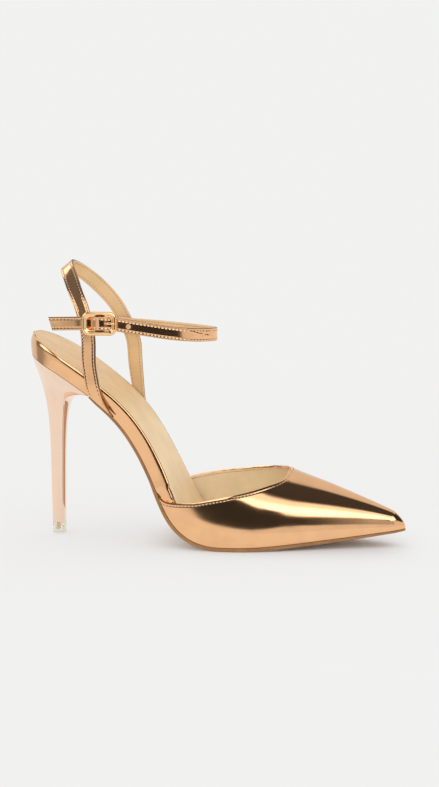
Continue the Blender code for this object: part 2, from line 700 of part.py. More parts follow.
def main():
    for old in list(bpy.data.objects):
        bpy.data.objects.remove(old, do_unlink=True)
    shoe = collection("high_heel_shoe")
    cutters = collection("cutters")
    outsole(shoe)
    insole_board(shoe)
    sock(shoe)
    vamp(shoe)
    heel(shoe, cutters)
    heel_tip(shoe, cutters)
    tip_dowel(shoe)
    sling_strap(shoe)
    ankle_strap(shoe, cutters)
    buckle(shoe, cutters)
    prong(shoe)


main()
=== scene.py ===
"""High heel shoe: rose gold foil leather, beige lining, plated heel, stitched straps and a gold buckle.

Tables and sizes are in millimetres unless a property says otherwise, the scene is in metres. +X runs to the
toe, +Y to the inner side of the foot and +Z up. Arc is the way along the insole's top line from the seat.
"""
import functools
import math

import bmesh
import bpy
import numpy as np
from mathutils import Matrix, Vector
from mathutils.bvhtree import BVHTree
from mathutils.kdtree import KDTree


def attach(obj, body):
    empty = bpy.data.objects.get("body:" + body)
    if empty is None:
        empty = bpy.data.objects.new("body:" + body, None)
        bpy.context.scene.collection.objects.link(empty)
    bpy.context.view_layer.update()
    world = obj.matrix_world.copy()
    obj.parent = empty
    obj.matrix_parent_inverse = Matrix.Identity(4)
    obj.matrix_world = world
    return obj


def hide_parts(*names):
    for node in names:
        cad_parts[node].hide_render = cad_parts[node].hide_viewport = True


bl_info = {
    "name": "High heel shoe",
    "version": (1, 0, 0),
    "blender": (4, 5, 0),
    "location": "View3D > Sidebar > Shoe",
    "description": "Dresses the packed solids of a high heel shoe and sets its stage",
    "category": "Object",
}

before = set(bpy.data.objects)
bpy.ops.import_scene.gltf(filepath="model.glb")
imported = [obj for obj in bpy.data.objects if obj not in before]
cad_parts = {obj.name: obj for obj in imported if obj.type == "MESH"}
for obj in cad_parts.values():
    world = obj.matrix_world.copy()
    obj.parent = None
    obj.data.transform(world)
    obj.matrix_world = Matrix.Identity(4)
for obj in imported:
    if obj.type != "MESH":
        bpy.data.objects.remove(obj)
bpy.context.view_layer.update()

# Gap between pieces, step at which tables are read, reach of a weld, and sides of a round hole.
MM = 0.001
GAP = 0.3
READ_STEP = 0.5
WELD_REACH = 0.004
SHARP_ANGLE = math.radians(40)
ROUND_STEPS = 24


def table(columns, *rows):
    """A table as one array for each named column."""
    return dict(zip(columns.split(), np.array(rows, float).T))


# The last: its bottom line, outline and instep.
BACK_X = -13.0
SEAT_ROUND = 29.0
TOE_ARC = 282.0
TOE_ROUND = 9.0
BALL_ARC = 178.0
SEAT_TILT_SHARE = 0.1
TOP_LINE = table(
    "arc slope",
    (0, 30), (20, 32), (45, 35.5), (60, 38.5), (75, 46.5), (90, 55.5), (105, 61.5), (122, 65), (140, 67),
    (148, 61), (154.5, 48), (161, 30), (167, 14), (172, 4), (175, 0), (185, 0), (195, -2.2), (228, -4.0),
    (283, -6.6),
)
OUTLINE = table(
    "arc outer inner",
    (30, 29.5, 29.5), (45, 29.0, 29.0), (60, 27.6, 27.6), (75, 26.0, 25.8), (90, 24.9, 24.6),
    (105, 24.5, 24.3), (120, 25.2, 25.5), (135, 27.6, 28.8), (149, 30.0, 32.2), (162, 31.5, 34.6),
    (176, 32.0, 35.8), (188, 31.0, 35.8), (201, 28.1, 34.0), (216, 22.8, 29.8), (231, 17.2, 24.6),
    (246, 12.0, 18.8), (261, 7.2, 12.8), (273, 3.6, 8.2), (282, 1.4, 5.4),
)
INSTEP = table(
    "x z",
    (68, 85), (85, 76), (100, 67.5), (115, 59.5), (130, 51.8), (144.5, 44.6), (156, 40.4), (168, 36.2),
    (180, 31.6), (192, 26.9), (204, 21.8), (214, 17.4),
)
LAST_BLUR = 4.0
SLOPE_BLUR = 2.0
END_TURNS = 22
END_FIRST_TURN = 4

# Insole board with the bead along its rim, sock and outsole.
BOARD = table(
    "arc thickness undercut tuck",
    (0, 11.0, 0.8, 0), (15, 9.2, 1.4, 0), (30, 8.2, 1.4, 0), (60, 7.9, 1.2, 0), (110, 7.9, 1.0, 0),
    (127, 7.9, 0.8, 0), (133, 7.7, 0.3, 1.75), (145, 6.6, 0, 1.75), (158, 4.4, 0, 1.75), (167, 3.6, 0, 1.75),
    (190, 3.6, 0, 1.75), (236, 3.0, 0, 1.75), (282, 2.2, 0, 1.9),
)
BEAD_OUT = 1.2
BEAD_IN = 0.3
BEAD_TALL = 3.2
BEAD_LIFT = 1.15
BEAD_END_SHARE = 0.3
BEAD_ROOM_SHARE = 0.8
BEAD_SIDE_STEPS = 6
BEAD_RISE_STEPS = 9
BEAD_FALL_STEPS = 4
BEAD_FALL_TURN = 70
BOARD_TOP_SPANS = 10
BOARD_SPACING = 1.6
UNDERCUT_LIMIT = 0.3
SEAT_BULGE = 1.0
SEAT_BULGE_RISE = 0.8
BOARD_TOE_STOP = 2.8
OUTER_TUCK_DELAY = 8.6
SOCK_THICKNESS = 1.0
SOCK_INSET = 1.6
SOCK_VAMP_INSET = 0.6
SOCK_END_ARC = 256.0
SOCK_EDGE_ROUND = 0.6
SOCK_LOW_ROUND = 0.1
SOCK_SPACING = 1.8
SLAB_ROUND_STEPS = 7
SLAB_SPANS = 12
SLAB_ROOM = 2.2
OUTSOLE_START_ARC = 55.2
OUTSOLE_EDGE_ROUND = 0.7
OUTSOLE_TOP_ROUND = 0.25
OUTSOLE_SPACING = 1.6
OUTSOLE = table(
    "arc thickness margin",
    (54, 0.8, -2.0), (64, 1.8, -2.0), (100, 2.0, -1.8), (122, 2.0, -1.4), (134, 2.0, 0.0), (146, 2.0, 0.4),
    (160, 2.0, 0.4), (175, 2.2, 0.4), (190, 2.2, 0.4), (236, 1.9, 0.4), (282, 1.2, 0.3),
)

# Vamp.
WALL = 1.4
VAMP_BACK_X = 70.4
THROAT_START_X = 134.0
THROAT_X = 144.5
SECTION_POWER = 2.1
NOSE_ROUND = 8.0
NOSE_LAST_TURN = 88
VAMP_COLUMNS = 50
SEAM_COLUMNS = 18
SEAM_REACH = 4.5
SEAM_WIDTH = 0.36
EDGE_ROLL = 0.3
WALL_EDGE_ROUND = 0.4
WALL_EDGE_STEPS = 3
SECTION_READINGS = 60
TOPLINE_BLUR = 1.2
TOPLINE_STEP = 0.1
TOPLINE_STRIDE = 4
VAMP_ROWS = {"back": 132, "throat": 30, "seam": 10, "front": 62, "nose": 24}
TOPLINE = table(
    "x outer inner",
    (68, 32.5, 33.5), (71, 29.0, 32.0), (74, 27.7, 32.0), (80, 27.2, 33.4), (90, 27.5, 35.8),
    (101, 29.6, 37.9), (112, 31.9, 39.6), (123, 34.3, 41.4), (134, 37.4, 43.2), (140, 39.6, 44.2),
    (143, 41.9, 44.6), (144.5, 44.6, 44.6),
)

# Heel and its tip: back and breast of each section, half width and how far it takes the seat's outline.
HEEL_FRONT_ARC = 54.6
HEEL_TOP_INSET = 0.2
HEEL_ROUND_SHARE = 0.62
HEEL_CORNER_SHARE = 0.9
HEEL_CORNER_DROP = 0.16
HEEL_SIDE_TURNS = np.radians(np.linspace(3, 84, 30))
HEEL_CORNER_ARCS = (0.92, 0.945, 0.965, 0.98, 0.992, 1.0)
HEEL_ARCS = np.concatenate([1 - np.cos(HEEL_SIDE_TURNS), HEEL_CORNER_ARCS])
HEEL_SPACING = 1.2
HEEL_BLUR = 3.0
BREAST_STEPS = 14
BREAST_BULGE = 0.09
HEEL = table(
    "back_x back_z front_x front_z half seat_share",
    (-3.9, 7.1, 3.6, 7.1, 3.8, 0), (-4.2, 26, 3.9, 26, 4.0, 0), (-4.4, 46, 4.2, 46, 4.2, 0),
    (-4.8, 63, 4.75, 63, 4.9, 0), (-5.7, 75.5, 5.7, 74.5, 6.1, 0), (-7.2, 85.4, 6.9, 81.5, 8.0, 0.05),
    (-8.6, 92, 8.8, 85.6, 11, 0.15), (-10.1, 99, 12.9, 87.4, 16, 0.4), (-11.7, 105, 18.2, 88.6, 21.5, 0.7),
    (-12.8, 109.8, 23.5, 89.2, 26, 0.9),
)
TIP = table(
    "back_x back_z front_x front_z half seat_share",
    (-3.6, 0, 3.4, 0, 3.6, 0), (-3.8, 0.15, 3.6, 0.15, 3.8, 0), (-3.85, 0.5, 3.65, 0.5, 3.85, 0),
    (-3.85, 6.4, 3.65, 6.4, 3.85, 0), (-3.75, 6.7, 3.55, 6.7, 3.75, 0), (-3.6, 6.8, 3.4, 6.8, 3.6, 0),
)
DOWEL_RADIUS = 1.3
DOWEL_BOTTOM = 2.6
DOWEL_TOP = 12.0

# Straps: rear and front edge at each place along the sling, middle line of the ankle strap.
SLING_THICKNESS = 2.0
SLING_ROWS = 560
SLING = table(
    "rear_x rear_y rear_z front_x front_y front_z",
    (29.8, -29.0, 88.9, 43.4, -27.2, 76.9), (28.6, -29.6, 91.4, 38.4, -28.4, 84.0),
    (27.4, -29.82, 95.6, 36.2, -29.45, 92.0), (26.3, -29.72, 103.0, 34.8, -29.6, 99.5),
    (25.2, -29.33, 110.0, 33.6, -29.4, 106.5),
    (24.4, -27.9, 124.8, 32.9, -27.95, 124.0),
    (20.4, -25.6, 139.3, 28.6, -25.5, 140.5), (15.2, -21.8, 148.8, 23.2, -20.8, 151.2),
    (10.2, -15.0, 157.0, 17.8, -13.0, 160.6), (6.2, -7.0, 162.0, 13.0, -5.8, 167.0),
    (5.0, 0.5, 163.0, 11.7, 0.8, 168.8), (7.4, 7.5, 161.2, 13.2, 8.2, 167.6),
    (13.3, 13.5, 156.3, 17.6, 15.2, 163.9), (20.0, 19.5, 149.0, 25.0, 22.3, 156.2),
    (27.2, 25.0, 139.2, 33.6, 26.4, 145.5), (33.5, 28.0, 127.0, 41.2, 28.4, 131.0),
    (36.6, 28.9, 119.0, 45.6, 28.7, 120.8), (38.0, 28.9, 104.0, 47.0, 28.2, 106.0),
    (39.8, 28.7, 92.0, 48.4, 27.7, 88.0), (42.5, 26.8, 76.2, 51.5, 25.4, 65.8),
)
ANKLE_WIDTH = 7.8
ANKLE_THICKNESS = 1.8
ANKLE_TAIL_SLANT = 2.3
ANKLE_TAIL_LENGTH = 4.0
ANKLE_ROWS = 640
ANKLE = table(
    "x y z",
    (33, 23.6, 129.8), (42, 25.4, 128.9), (60, 25.4, 127.6), (75, 21.0, 126.5), (88, 14.0, 125.6),
    (96.5, 6.5, 125.0), (99.6, -1.0, 124.8), (96.8, -8.5, 124.7), (88.5, -17.0, 125.0), (76, -23.8, 126.3),
    (62, -28.0, 128.6), (50, -29.35, 130.5), (46.2, -29.7, 131.1), (43.4, -29.8, 131.45),
    (40.4, -31.3, 131.7), (36.9, -32.9, 131.75), (33.4, -31.3, 131.75), (30.4, -29.8, 131.75),
    (27.4, -29.64, 131.7), (22, -29.88, 131.65), (14, -30.26, 131.5), (6.9, -30.58, 131.4),
)
SLING_BLUR = 1.6
ANKLE_BLUR = 0.96
STRAP_EDGE_ROUND = 0.55
STRAP_FACE_LEAN = 0.5
STRAP_FREE_ROWS = 2
OUTER_COLUMNS = 36
INNER_COLUMNS = 18
SPARE_HOLE_X = 53.5
HOLE_RADIUS = 1.2
HOLE_RIM = 0.26
HOLE_DEPTH = 6.0
CREASE_DEPTH = 0.2
CREASE_WIDTH = 0.42
CREASE_REACH = 0.13
CREASE_RIDGE_SHARE = 0.6
CREASES = table(
    "x y height lean",
    (91.8, -14.1, 0.6, 3.0), (93.4, -12.5, 0.5, -3.5), (94.6, -11.2, 0.64, 4.0), (95.7, -9.9, 0.55, -2.0),
    (97.0, -8.1, 0.62, 3.0), (94.2, -11.7, 0.6, 36.0), (96.2, -9.2, 0.62, -30.0),
)

# Stitches: shares of the thread's or the hole's size, and how the leather is pulled in between them.
THREAD_HEIGHT_SHARE = 0.4
HOLE_LENGTH_SHARE = 0.6
HOLE_HEIGHT_SHARE = 0.15
STITCH_RUN = 0.4
PULL_MEAN = 0.65
PULL_WIDTH = 0.32
PULL_INSIDE_SHARE = 0.6
END_ROW_POINTS = 12

# Buckle and its prong.
BUCKLE_CENTRE = (36.7, -32.1, 131.7)
BUCKLE_OUTER = (20.8, 13.9)
BUCKLE_OPENING = (14.6, 7.7)
BUCKLE_OUTER_ROUND = 4.2
BUCKLE_INNER_ROUND = 2.0
BUCKLE_DEPTH = 2.4
BUCKLE_POWER = 2.1
BUCKLE_RIDGE_SHARE = 0.45
BUCKLE_SLOPE = 1.4
BUCKLE_CORNER_STEPS = 10
BUCKLE_SIDE_STEPS = 6
BUCKLE_AROUND = 32
BAR_RADIUS = 0.7
BAR_STEPS = 20
BAR_Y = -31.0
PRONG_RADIUS = 0.55
PRONG_ROWS = 40
PRONG_AROUND = 16
PRONG_BLUR = 0.4
PRONG = table(
    "x y",
    (38.5, -31.0), (39.6, -31.8), (41.4, -33.2), (42.8, -34.0), (44.4, -34.3), (46.6, -34.2),
)

# The camera that took the picture, in metres and degrees.
CAMERA_PLACE = (0.2149, -0.6425, 0.1585)
CAMERA_TURN = 10.0
CAMERA_TILT = 6.084
CAMERA_LENS = 50.0
CAMERA_SENSOR = 36.0

# Mirrored studio: brightness of its parts, and their edges as turn or rise in degrees, from none to full.
WHITE = 0.76
BEHIND_MIDDLE = 10
BEHIND_START = (105, 119)
DIM = 0.035
HIGH_DIM = 0.022
HIGH_DIM_RISE = (38, 46)
SIDE = 0.78
SIDE_FAR = 0.34
FLOOR_LINE = (-2.3, -1.6)
LEFT_END = (-12.8, -11.0)
LEFT_DIM = 0.16
LEFT_DIM_RISE = (7, 13)
FAR_LEFT_END = (-80, -50)
FAR_LEFT_RISE = (-18, -3)
RIGHT_START = (42, 46)
RIGHT_HIGH_START = (39, 45)
RIGHT_HIGH_TOP = (14, 18)
DEEP_TOP = (-4.2, -3.4)
DEEP_END = (-8, -5)
TAIL_DIM = 0.34
TAIL_START = (-40, -30)
TAIL_LOW = (-10.4, -9.6)
TAIL_TOP = (-8, -7.2)
BOX_LIGHT = 1.3
BOX_CORE_LIGHT = 1.4
BOX_CORE_LOW = (14, 21)
BOX_CORE_TOP = (23, 31)
BOX_END = (53, 57)
BOX_LOW = 23.6
BOX_LOW_STEPS = table("start stop change", (14, 30, -3.4), (30.5, 33, -5.2), (43, 53, 3))
BOX_LOW_SOFT = (-1.2, 1.6)
BOX_TOP = 42
BOX_TOP_STEPS = table("start stop change", (26, 42, -6))
BOX_TOP_SOFT = (-2.8, 2.2)
BOX_LEFT = 11.5
BOX_LEFT_STEPS = table("start stop change", (30, 42, -8))
BOX_LEFT_SOFT = (-2.5, 2.5)

# Two lights high up in the studio, with edges given by the parts of a direction.
OVERHEAD = 0.72
OVERHEAD_START = {"x": (-0.30, -0.22), "y": (-0.05, 0.13), "z": (0.66, 0.71)}
WINDOW = 1.8
WINDOW_END_X = (-0.48, -0.40)
WINDOW_START = {"y": (0.09, 0.12), "z": (0.60, 0.68)}

# Floor, in metres: it glows a little, less under the forefoot, and takes the backdrop's tone further away.
FLOOR_LOW = (-0.55, -0.7)
FLOOR_HIGH = (6.0, 6.0)
FLOOR_GLOW = 0.66
FLOOR_FADE = (0.35, 1.2)
FLOOR_COVERED = 0.95
COVERED_START = (0.05, 0.1)
COVERED_END = (0.195, 0.23)
COVERED_SIDE = (0.018, 0.05)

# Where the sock takes its paler front colour, painted light against the shade inside the vamp, in metres.
SOCK_PAINTED_LIGHT_X = (0.044, 0.068)

# Cards that are seen only in mirroring pieces: two corners, brightness, where one fades in and a bent top.
# A copper one is behind the heel, a white one over the seat, a pale and a dark one are beside the toe, two
# bright ones are high over the seat's rim and a pale one runs along the floor.
CARD_STEPS = 24
FLOOR_CARD_TOP = table(
    "x z", (140, 1), (165, 5), (189, 11.7), (218, 15.6), (240, 19.5), (257, 22.5), (270, 31), (430, 32),
)
CARDS = {
    "copper_card": {"low": (26, 60, 1), "high": (58, 60, 66), "light": (0.50, 0.31, 0.21)},
    "rim_card": {"low": (-60, 170, 215), "high": (120, 170, 450), "light": (1.4, 1.4, 1.4)},
    "toe_card": {
        "low": (232, -150, 29), "high": (330, -150, 61), "light": (0.56, 0.56, 0.56), "fade": (244, 296),
    },
    "shade_card": {"low": (222, -200, 50), "high": (274, -200, 101), "light": (DIM, DIM, DIM)},
    "high_card": {"low": (8, -260, 190), "high": (110, -60, 190), "light": (1.7, 1.7, 1.7)},
    "high_left_card": {"low": (-200, -150, 190), "high": (-28, -45, 190), "light": (1.7, 1.7, 1.7)},
    "floor_card": {
        "low": (140, -200, 0.5), "high": (430, -200, 32), "light": (0.78, 0.78, 0.78), "top": FLOOR_CARD_TOP,
    },
}


class ShoeSizes(bpy.types.PropertyGroup):
    """Sizes of the sewn and finished details."""

    stitch_pitch: bpy.props.FloatProperty(
        name="Stitch pitch", description="From one stitch to the next", default=0.0021, unit="LENGTH"
    )
    stitch_length: bpy.props.FloatProperty(
        name="Stitch length", description="Length of the thread that shows", default=0.0015, unit="LENGTH"
    )
    stitch_width: bpy.props.FloatProperty(
        name="Stitch width", description="Width of the thread", default=0.0005, unit="LENGTH"
    )
    hole_size: bpy.props.FloatProperty(
        name="Needle hole", description="Width of the holes between stitches", default=0.0005, unit="LENGTH"
    )
    stitch_inset: bpy.props.FloatProperty(
        name="Stitch inset", description="From a strap's edge to its stitches", default=0.0014, unit="LENGTH"
    )
    topline_inset: bpy.props.FloatProperty(
        name="Topline inset", description="From the topline to its stitches", default=0.0018, unit="LENGTH"
    )
    groove_depth: bpy.props.FloatProperty(
        name="Groove depth", description="How far a row of stitches pulls the leather in", default=0.0002,
        unit="LENGTH",
    )


class ShoeColours(bpy.types.PropertyGroup):
    """Colours of the materials."""

    foil: bpy.props.FloatVectorProperty(
        name="Foil", description="Rose gold foil leather", default=(0.97, 0.555, 0.285), subtype="COLOR"
    )
    plating: bpy.props.FloatVectorProperty(
        name="Plating", description="Plated heel", default=(0.98, 0.73, 0.56), subtype="COLOR"
    )
    lining: bpy.props.FloatVectorProperty(
        name="Lining", description="Lining and sock leather", default=(0.84, 0.58, 0.31), subtype="COLOR"
    )
    # Paler sock colour ahead of the arch: painted light against the shade and orange bounce light inside the
    # vamp.
    sock_front_painted_light: bpy.props.FloatVectorProperty(
        name="Sock front", description="Sock leather ahead of the arch", default=(0.93, 0.71, 0.43),
        subtype="COLOR",
    )
    # Paler copy of the lining colour: painted light against the shade and orange bounce light inside the
    # vamp.
    vamp_lining_painted_light: bpy.props.FloatVectorProperty(
        name="Vamp lining", description="Lining inside the vamp", default=(1.0, 0.87, 0.64), subtype="COLOR"
    )
    edge: bpy.props.FloatVectorProperty(
        name="Edge", description="Stained cut edge of a strap", default=(0.16, 0.075, 0.03), subtype="COLOR"
    )
    sole: bpy.props.FloatVectorProperty(
        name="Sole", description="Sole leather", default=(0.40, 0.19, 0.06), subtype="COLOR"
    )
    thread: bpy.props.FloatVectorProperty(
        name="Thread", description="Sewing thread", default=(0.72, 0.47, 0.29), subtype="COLOR"
    )
    # Needle holes are drawn as dark flecks: painted shade of the holes.
    hole: bpy.props.FloatVectorProperty(
        name="Holes", description="Needle holes", default=(0.10, 0.045, 0.018), subtype="COLOR"
    )
    gold: bpy.props.FloatVectorProperty(
        name="Gold", description="Buckle and prong", default=(1.0, 0.67, 0.35), subtype="COLOR"
    )
    floor: bpy.props.FloatVectorProperty(
        name="Floor", description="Floor and backdrop", default=(0.885, 0.885, 0.875), subtype="COLOR"
    )


def table_rows(tab):
    """Rows of a table, each by the names of its columns."""
    return [dict(zip(tab, row)) for row in zip(*tab.values())]


def along(tab, name, at, free=False):
    """Smooth reading of a table's column against its first column, never overshooting unless it is free."""
    keys = next(iter(tab.values()))
    values = tab[name]
    last = len(keys) - 1
    at = min(max(at, keys[0]), keys[-1])
    i = min(max(int(np.searchsorted(keys, at)) - 1, 0), last - 1)
    rises = np.diff(values) / np.diff(keys)

    def slope(k):
        before = rises[max(k - 1, 0)]
        after = rises[min(k, last - 1)]
        if free:
            return (before + after) / 2
        return 0.0 if before * after <= 0 else 2 * before * after / (before + after)

    step = keys[i + 1] - keys[i]
    u = (at - keys[i]) / step
    hold = (1 + 2 * u) * (1 - u) ** 2 * values[i] + u * u * (3 - 2 * u) * values[i + 1]
    return hold + step * u * (1 - u) * ((1 - u) * slope(i) - u * slope(i + 1))


def soften(values, step, blur):
    """Values blurred along their first axis, with both ends held."""
    values = np.asarray(values, float)
    reach = min(int(3 * blur / step), len(values) - 1)
    weights = np.exp(-0.5 * (np.arange(-reach, reach + 1) * step / blur) ** 2)
    before = 2 * values[0] - values[reach:0:-1]
    after = 2 * values[-1] - values[-2:-reach - 2:-1]
    padded = np.concatenate([before, values, after])
    weights /= weights.sum()
    if values.ndim == 1:
        return np.convolve(padded, weights, "valid")
    return np.stack([np.convolve(column, weights, "valid") for column in padded.T], -1)


def way_along(points):
    """Distance along a line of points, from its start."""
    steps = np.linalg.norm(np.diff(np.asarray(points, float), axis=0), axis=1)
    return np.concatenate([[0], np.cumsum(steps)])


def read_line(line, way, places):
    """Points at places on the way along a line of points."""
    return np.stack([np.interp(places, way, line[:, k]) for k in range(3)], -1)


def softened_column(tab, name, blur):
    """Places and softened values of a table's column."""
    keys = next(iter(tab.values()))
    places = np.arange(keys[0], keys[-1] + READ_STEP, READ_STEP)
    values = [along(tab, name, place) for place in places]
    return places, soften(values, READ_STEP, blur)


OUTER_LINE = softened_column(OUTLINE, "outer", LAST_BLUR)
INNER_LINE = softened_column(OUTLINE, "inner", LAST_BLUR)
INSTEP_LINE = softened_column(INSTEP, "z", LAST_BLUR)


def integrate_top_line():
    """Arc, x, z and slope of the insole's top line, lifted so that the ball of the sole is on the floor."""
    arc = np.arange(0, TOE_ARC + READ_STEP, READ_STEP)
    slope = soften(np.radians(np.interp(arc, TOP_LINE["arc"], TOP_LINE["slope"])), READ_STEP, SLOPE_BLUR)
    mean = (slope[1:] + slope[:-1]) / 2
    x = BACK_X + np.concatenate([[0], np.cumsum(np.cos(mean))]) * READ_STEP
    z = -np.concatenate([[0], np.cumsum(np.sin(mean))]) * READ_STEP
    ball_depth = along(BOARD, "thickness", BALL_ARC) + GAP + along(OUTSOLE, "thickness", BALL_ARC)
    return arc, x, z - np.interp(BALL_ARC, arc, z) + ball_depth, slope


LINE_ARC, LINE_X, LINE_Z, LINE_SLOPE = integrate_top_line()


def under(arc, y, depth):
    """Point at a depth below the insole's top line, square to it but steeper at the back of the seat."""
    x = np.interp(arc, LINE_ARC, LINE_X)
    z = np.interp(arc, LINE_ARC, LINE_Z)
    share = SEAT_TILT_SHARE + (1 - SEAT_TILT_SHARE) * min(arc / SEAT_ROUND, 1)
    tilt = share * np.interp(arc, LINE_ARC, LINE_SLOPE)
    return (x - math.sin(tilt) * depth, y, z - math.cos(tilt) * depth)


def outline(arc, inset=0.0):
    """Outer and inner edge, as y, of the last's outline, drawn in by an inset and rounded at both ends."""
    outer = np.interp(arc, *OUTER_LINE)
    inner = np.interp(arc, *INNER_LINE)
    half = (outer + inner) / 2 - inset
    toe_start = TOE_ARC - TOE_ROUND
    end = 0.0
    if arc < SEAT_ROUND:
        end = (SEAT_ROUND - arc) / (SEAT_ROUND - inset)
    if arc > toe_start:
        end = (arc - toe_start) / (TOE_ARC - inset - toe_start)
    half *= math.sqrt(max(1 - end * end, 0.0))
    middle = (inner - outer) / 2
    return middle - half, middle + half


def stations(start, stop, spacing, round_start=0.0, round_stop=0.0):
    """Arcs from start to stop, closer together where an end is rounded."""
    turns = np.radians(np.linspace(END_FIRST_TURN, 90, END_TURNS))
    first = start + round_start * (1 - np.sin(turns[::-1])) if round_start else np.array([start])
    final = stop - round_stop * (1 - np.sin(turns)) if round_stop else np.array([stop])
    count = max(int((final[0] - first[-1]) / spacing), 1)
    middle = np.linspace(first[-1], final[0], count + 1)[1:-1]
    return np.concatenate([np.sort(first), middle, np.sort(final)])


class Paint:
    """One output in a node tree; sums and further nodes are written as expressions on it."""

    def __init__(self, tree, socket=None):
        self.tree = tree
        self.socket = socket

    def node(self, kind, settings=None, feeds=None, out=0):
        """Adds a node, sets it up, feeds its sockets and gives one of its outputs."""
        made = self.tree.nodes.new(kind)
        for name, value in (settings or {}).items():
            setattr(made, name, value)
        for name, value in (feeds or {}).items():
            if isinstance(value, Paint):
                self.tree.links.new(value.socket, made.inputs[name])
            else:
                made.inputs[name].default_value = value
        return Paint(self.tree, made.outputs[out]) if made.outputs else made

    def math(self, operation, first, second=0.0):
        """Result of a sum or a function."""
        return self.node("ShaderNodeMath", {"operation": operation}, {0: first, 1: second})

    def __add__(self, other):
        return self.math("ADD", self, other)

    def __radd__(self, other):
        return self.math("ADD", other, self)

    def __sub__(self, other):
        return self.math("SUBTRACT", self, other)

    def __rsub__(self, other):
        return self.math("SUBTRACT", other, self)

    def __mul__(self, other):
        return self.math("MULTIPLY", self, other)

    def __rmul__(self, other):
        return self.math("MULTIPLY", other, self)

    def __abs__(self):
        return self.math("ABSOLUTE", self)

    def place(self):
        """Object coordinates."""
        return self.node("ShaderNodeTexCoord", out=3)

    def parts(self, place):
        """X, y and z of a place or direction."""
        return [self.node("ShaderNodeSeparateXYZ", None, {0: place}, out=k) for k in range(3)]

    def between(self, low, high):
        """Smooth step from 0 at low to 1 at high."""
        settings = {"interpolation_type": "SMOOTHSTEP"}
        return self.node("ShaderNodeMapRange", settings, {0: self, 1: low, 2: high, 3: 0.0, 4: 1.0})

    def mix(self, first, second):
        """Colour between two, by this share."""
        feeds = {0: self, 6: as_colour(first), 7: as_colour(second)}
        return self.node("ShaderNodeMix", {"data_type": "RGBA"}, feeds, out=2)

    def noise(self, scale, detail=2.0, stretch=None):
        """Noise on object coordinates, with features of 1 / scale metres."""
        place = self.place()
        if stretch:
            place = self.node("ShaderNodeMapping", None, {0: place, 3: stretch})
        return self.node("ShaderNodeTexNoise", None, {"Vector": place, "Scale": scale, "Detail": detail})

    def bump(self, height, distance, strength):
        """Normal from a height in units of a distance in metres."""
        feeds = {"Strength": strength, "Distance": distance, "Height": height}
        return self.node("ShaderNodeBump", None, feeds)


def as_colour(value):
    """Colour with its alpha, or the wrapped socket as it is."""
    return value if isinstance(value, Paint) else (*tuple(value)[:3], 1.0)


def new_material(name):
    """Empty-handed Principled material: its paint box, and its shader."""
    made = bpy.data.materials.new(name)
    made.use_nodes = True
    return made, Paint(made.node_tree), made.node_tree.nodes["Principled BSDF"]


def feed(paint, shader, **inputs):
    """Links or sets the shader's sockets, named with underscores."""
    for name, value in inputs.items():
        socket = shader.inputs[name.replace("_", " ")]
        if isinstance(value, Paint):
            paint.tree.links.new(value.socket, socket)
        else:
            socket.default_value = as_colour(value) if socket.type == "RGBA" else value


@functools.lru_cache(None)
def foil_leather(name, roughness):
    """Mirror foil on leather: faint grain, slow waves and patches that are a little duller."""
    made, paint, shader = new_material(name)
    colour = Vector(bpy.context.scene.shoe_colours.foil)
    patches = paint.noise(90.0, detail=3.0)
    grain = paint.noise(2600.0, detail=2.0)
    waves = paint.noise(55.0, detail=1.0)
    base = patches.between(0.35, 0.75).mix(colour, colour * 0.93)
    height = grain * 0.02 + waves * 0.25
    feed(
        paint, shader, Base_Color=base, Metallic=1.0, Roughness=patches * 0.06 + roughness,
        Normal=paint.bump(height, distance=0.0006, strength=0.35), Coat_Weight=0.25, Coat_Roughness=0.06,
    )
    return made


@functools.lru_cache(None)
def lining_leather(name, kind="lining", ahead="lining"):
    """Soft beige leather with fine pores and slight marks; ahead of the arch it may turn paler, painted
    light against the shade inside the vamp.
    """
    made, paint, shader = new_material(name)
    colour = Vector(getattr(bpy.context.scene.shoe_colours, kind))
    front = Vector(getattr(bpy.context.scene.shoe_colours, ahead))
    tone = paint.noise(70.0, detail=4.0)
    pores = paint.noise(3200.0, detail=3.0)
    # Ahead of the arch the colour turns to the paler one, painted light where the vamp shades the sock.
    forward = paint.parts(paint.place())[0].between(*SOCK_PAINTED_LIGHT_X)
    dark, pale = (forward.mix(colour * share, front * share) for share in (0.94, 1.04))
    base = tone.between(0.3, 0.7).mix(dark, pale)
    feed(
        paint, shader, Base_Color=base, Roughness=pores * 0.15 + 0.42,
        Normal=paint.bump(pores * 0.5 + tone * 0.3, distance=0.0001, strength=0.3), Specular_IOR_Level=0.3,
    )
    return made


@functools.lru_cache(None)
def plain_leather(name, kind, roughness):
    """Stained cut leather: fibres along the edge, darker in places."""
    made, paint, shader = new_material(name)
    colour = Vector(getattr(bpy.context.scene.shoe_colours, kind))
    fibres = paint.noise(1400.0, detail=4.0)
    tone = paint.noise(120.0, detail=2.0)
    base = (fibres * 0.6 + tone * 0.4).between(0.3, 0.7).mix(colour * 0.75, colour * 1.15)
    feed(
        paint, shader, Base_Color=base, Roughness=fibres * 0.2 + roughness,
        Normal=paint.bump(fibres, distance=0.0002, strength=0.5),
    )
    return made


@functools.lru_cache(None)
def polished(name, kind, roughness):
    """Plated, polished surface with faint wiping marks."""
    made, paint, shader = new_material(name)
    colour = Vector(getattr(bpy.context.scene.shoe_colours, kind))
    marks = paint.noise(160.0, detail=5.0, stretch=(1.0, 1.0, 0.12))
    base = marks.between(0.45, 0.8).mix(colour, colour * 0.95)
    feed(paint, shader, Base_Color=base, Metallic=1.0, Roughness=marks.between(0.4, 0.8) * 0.05 + roughness)
    return made


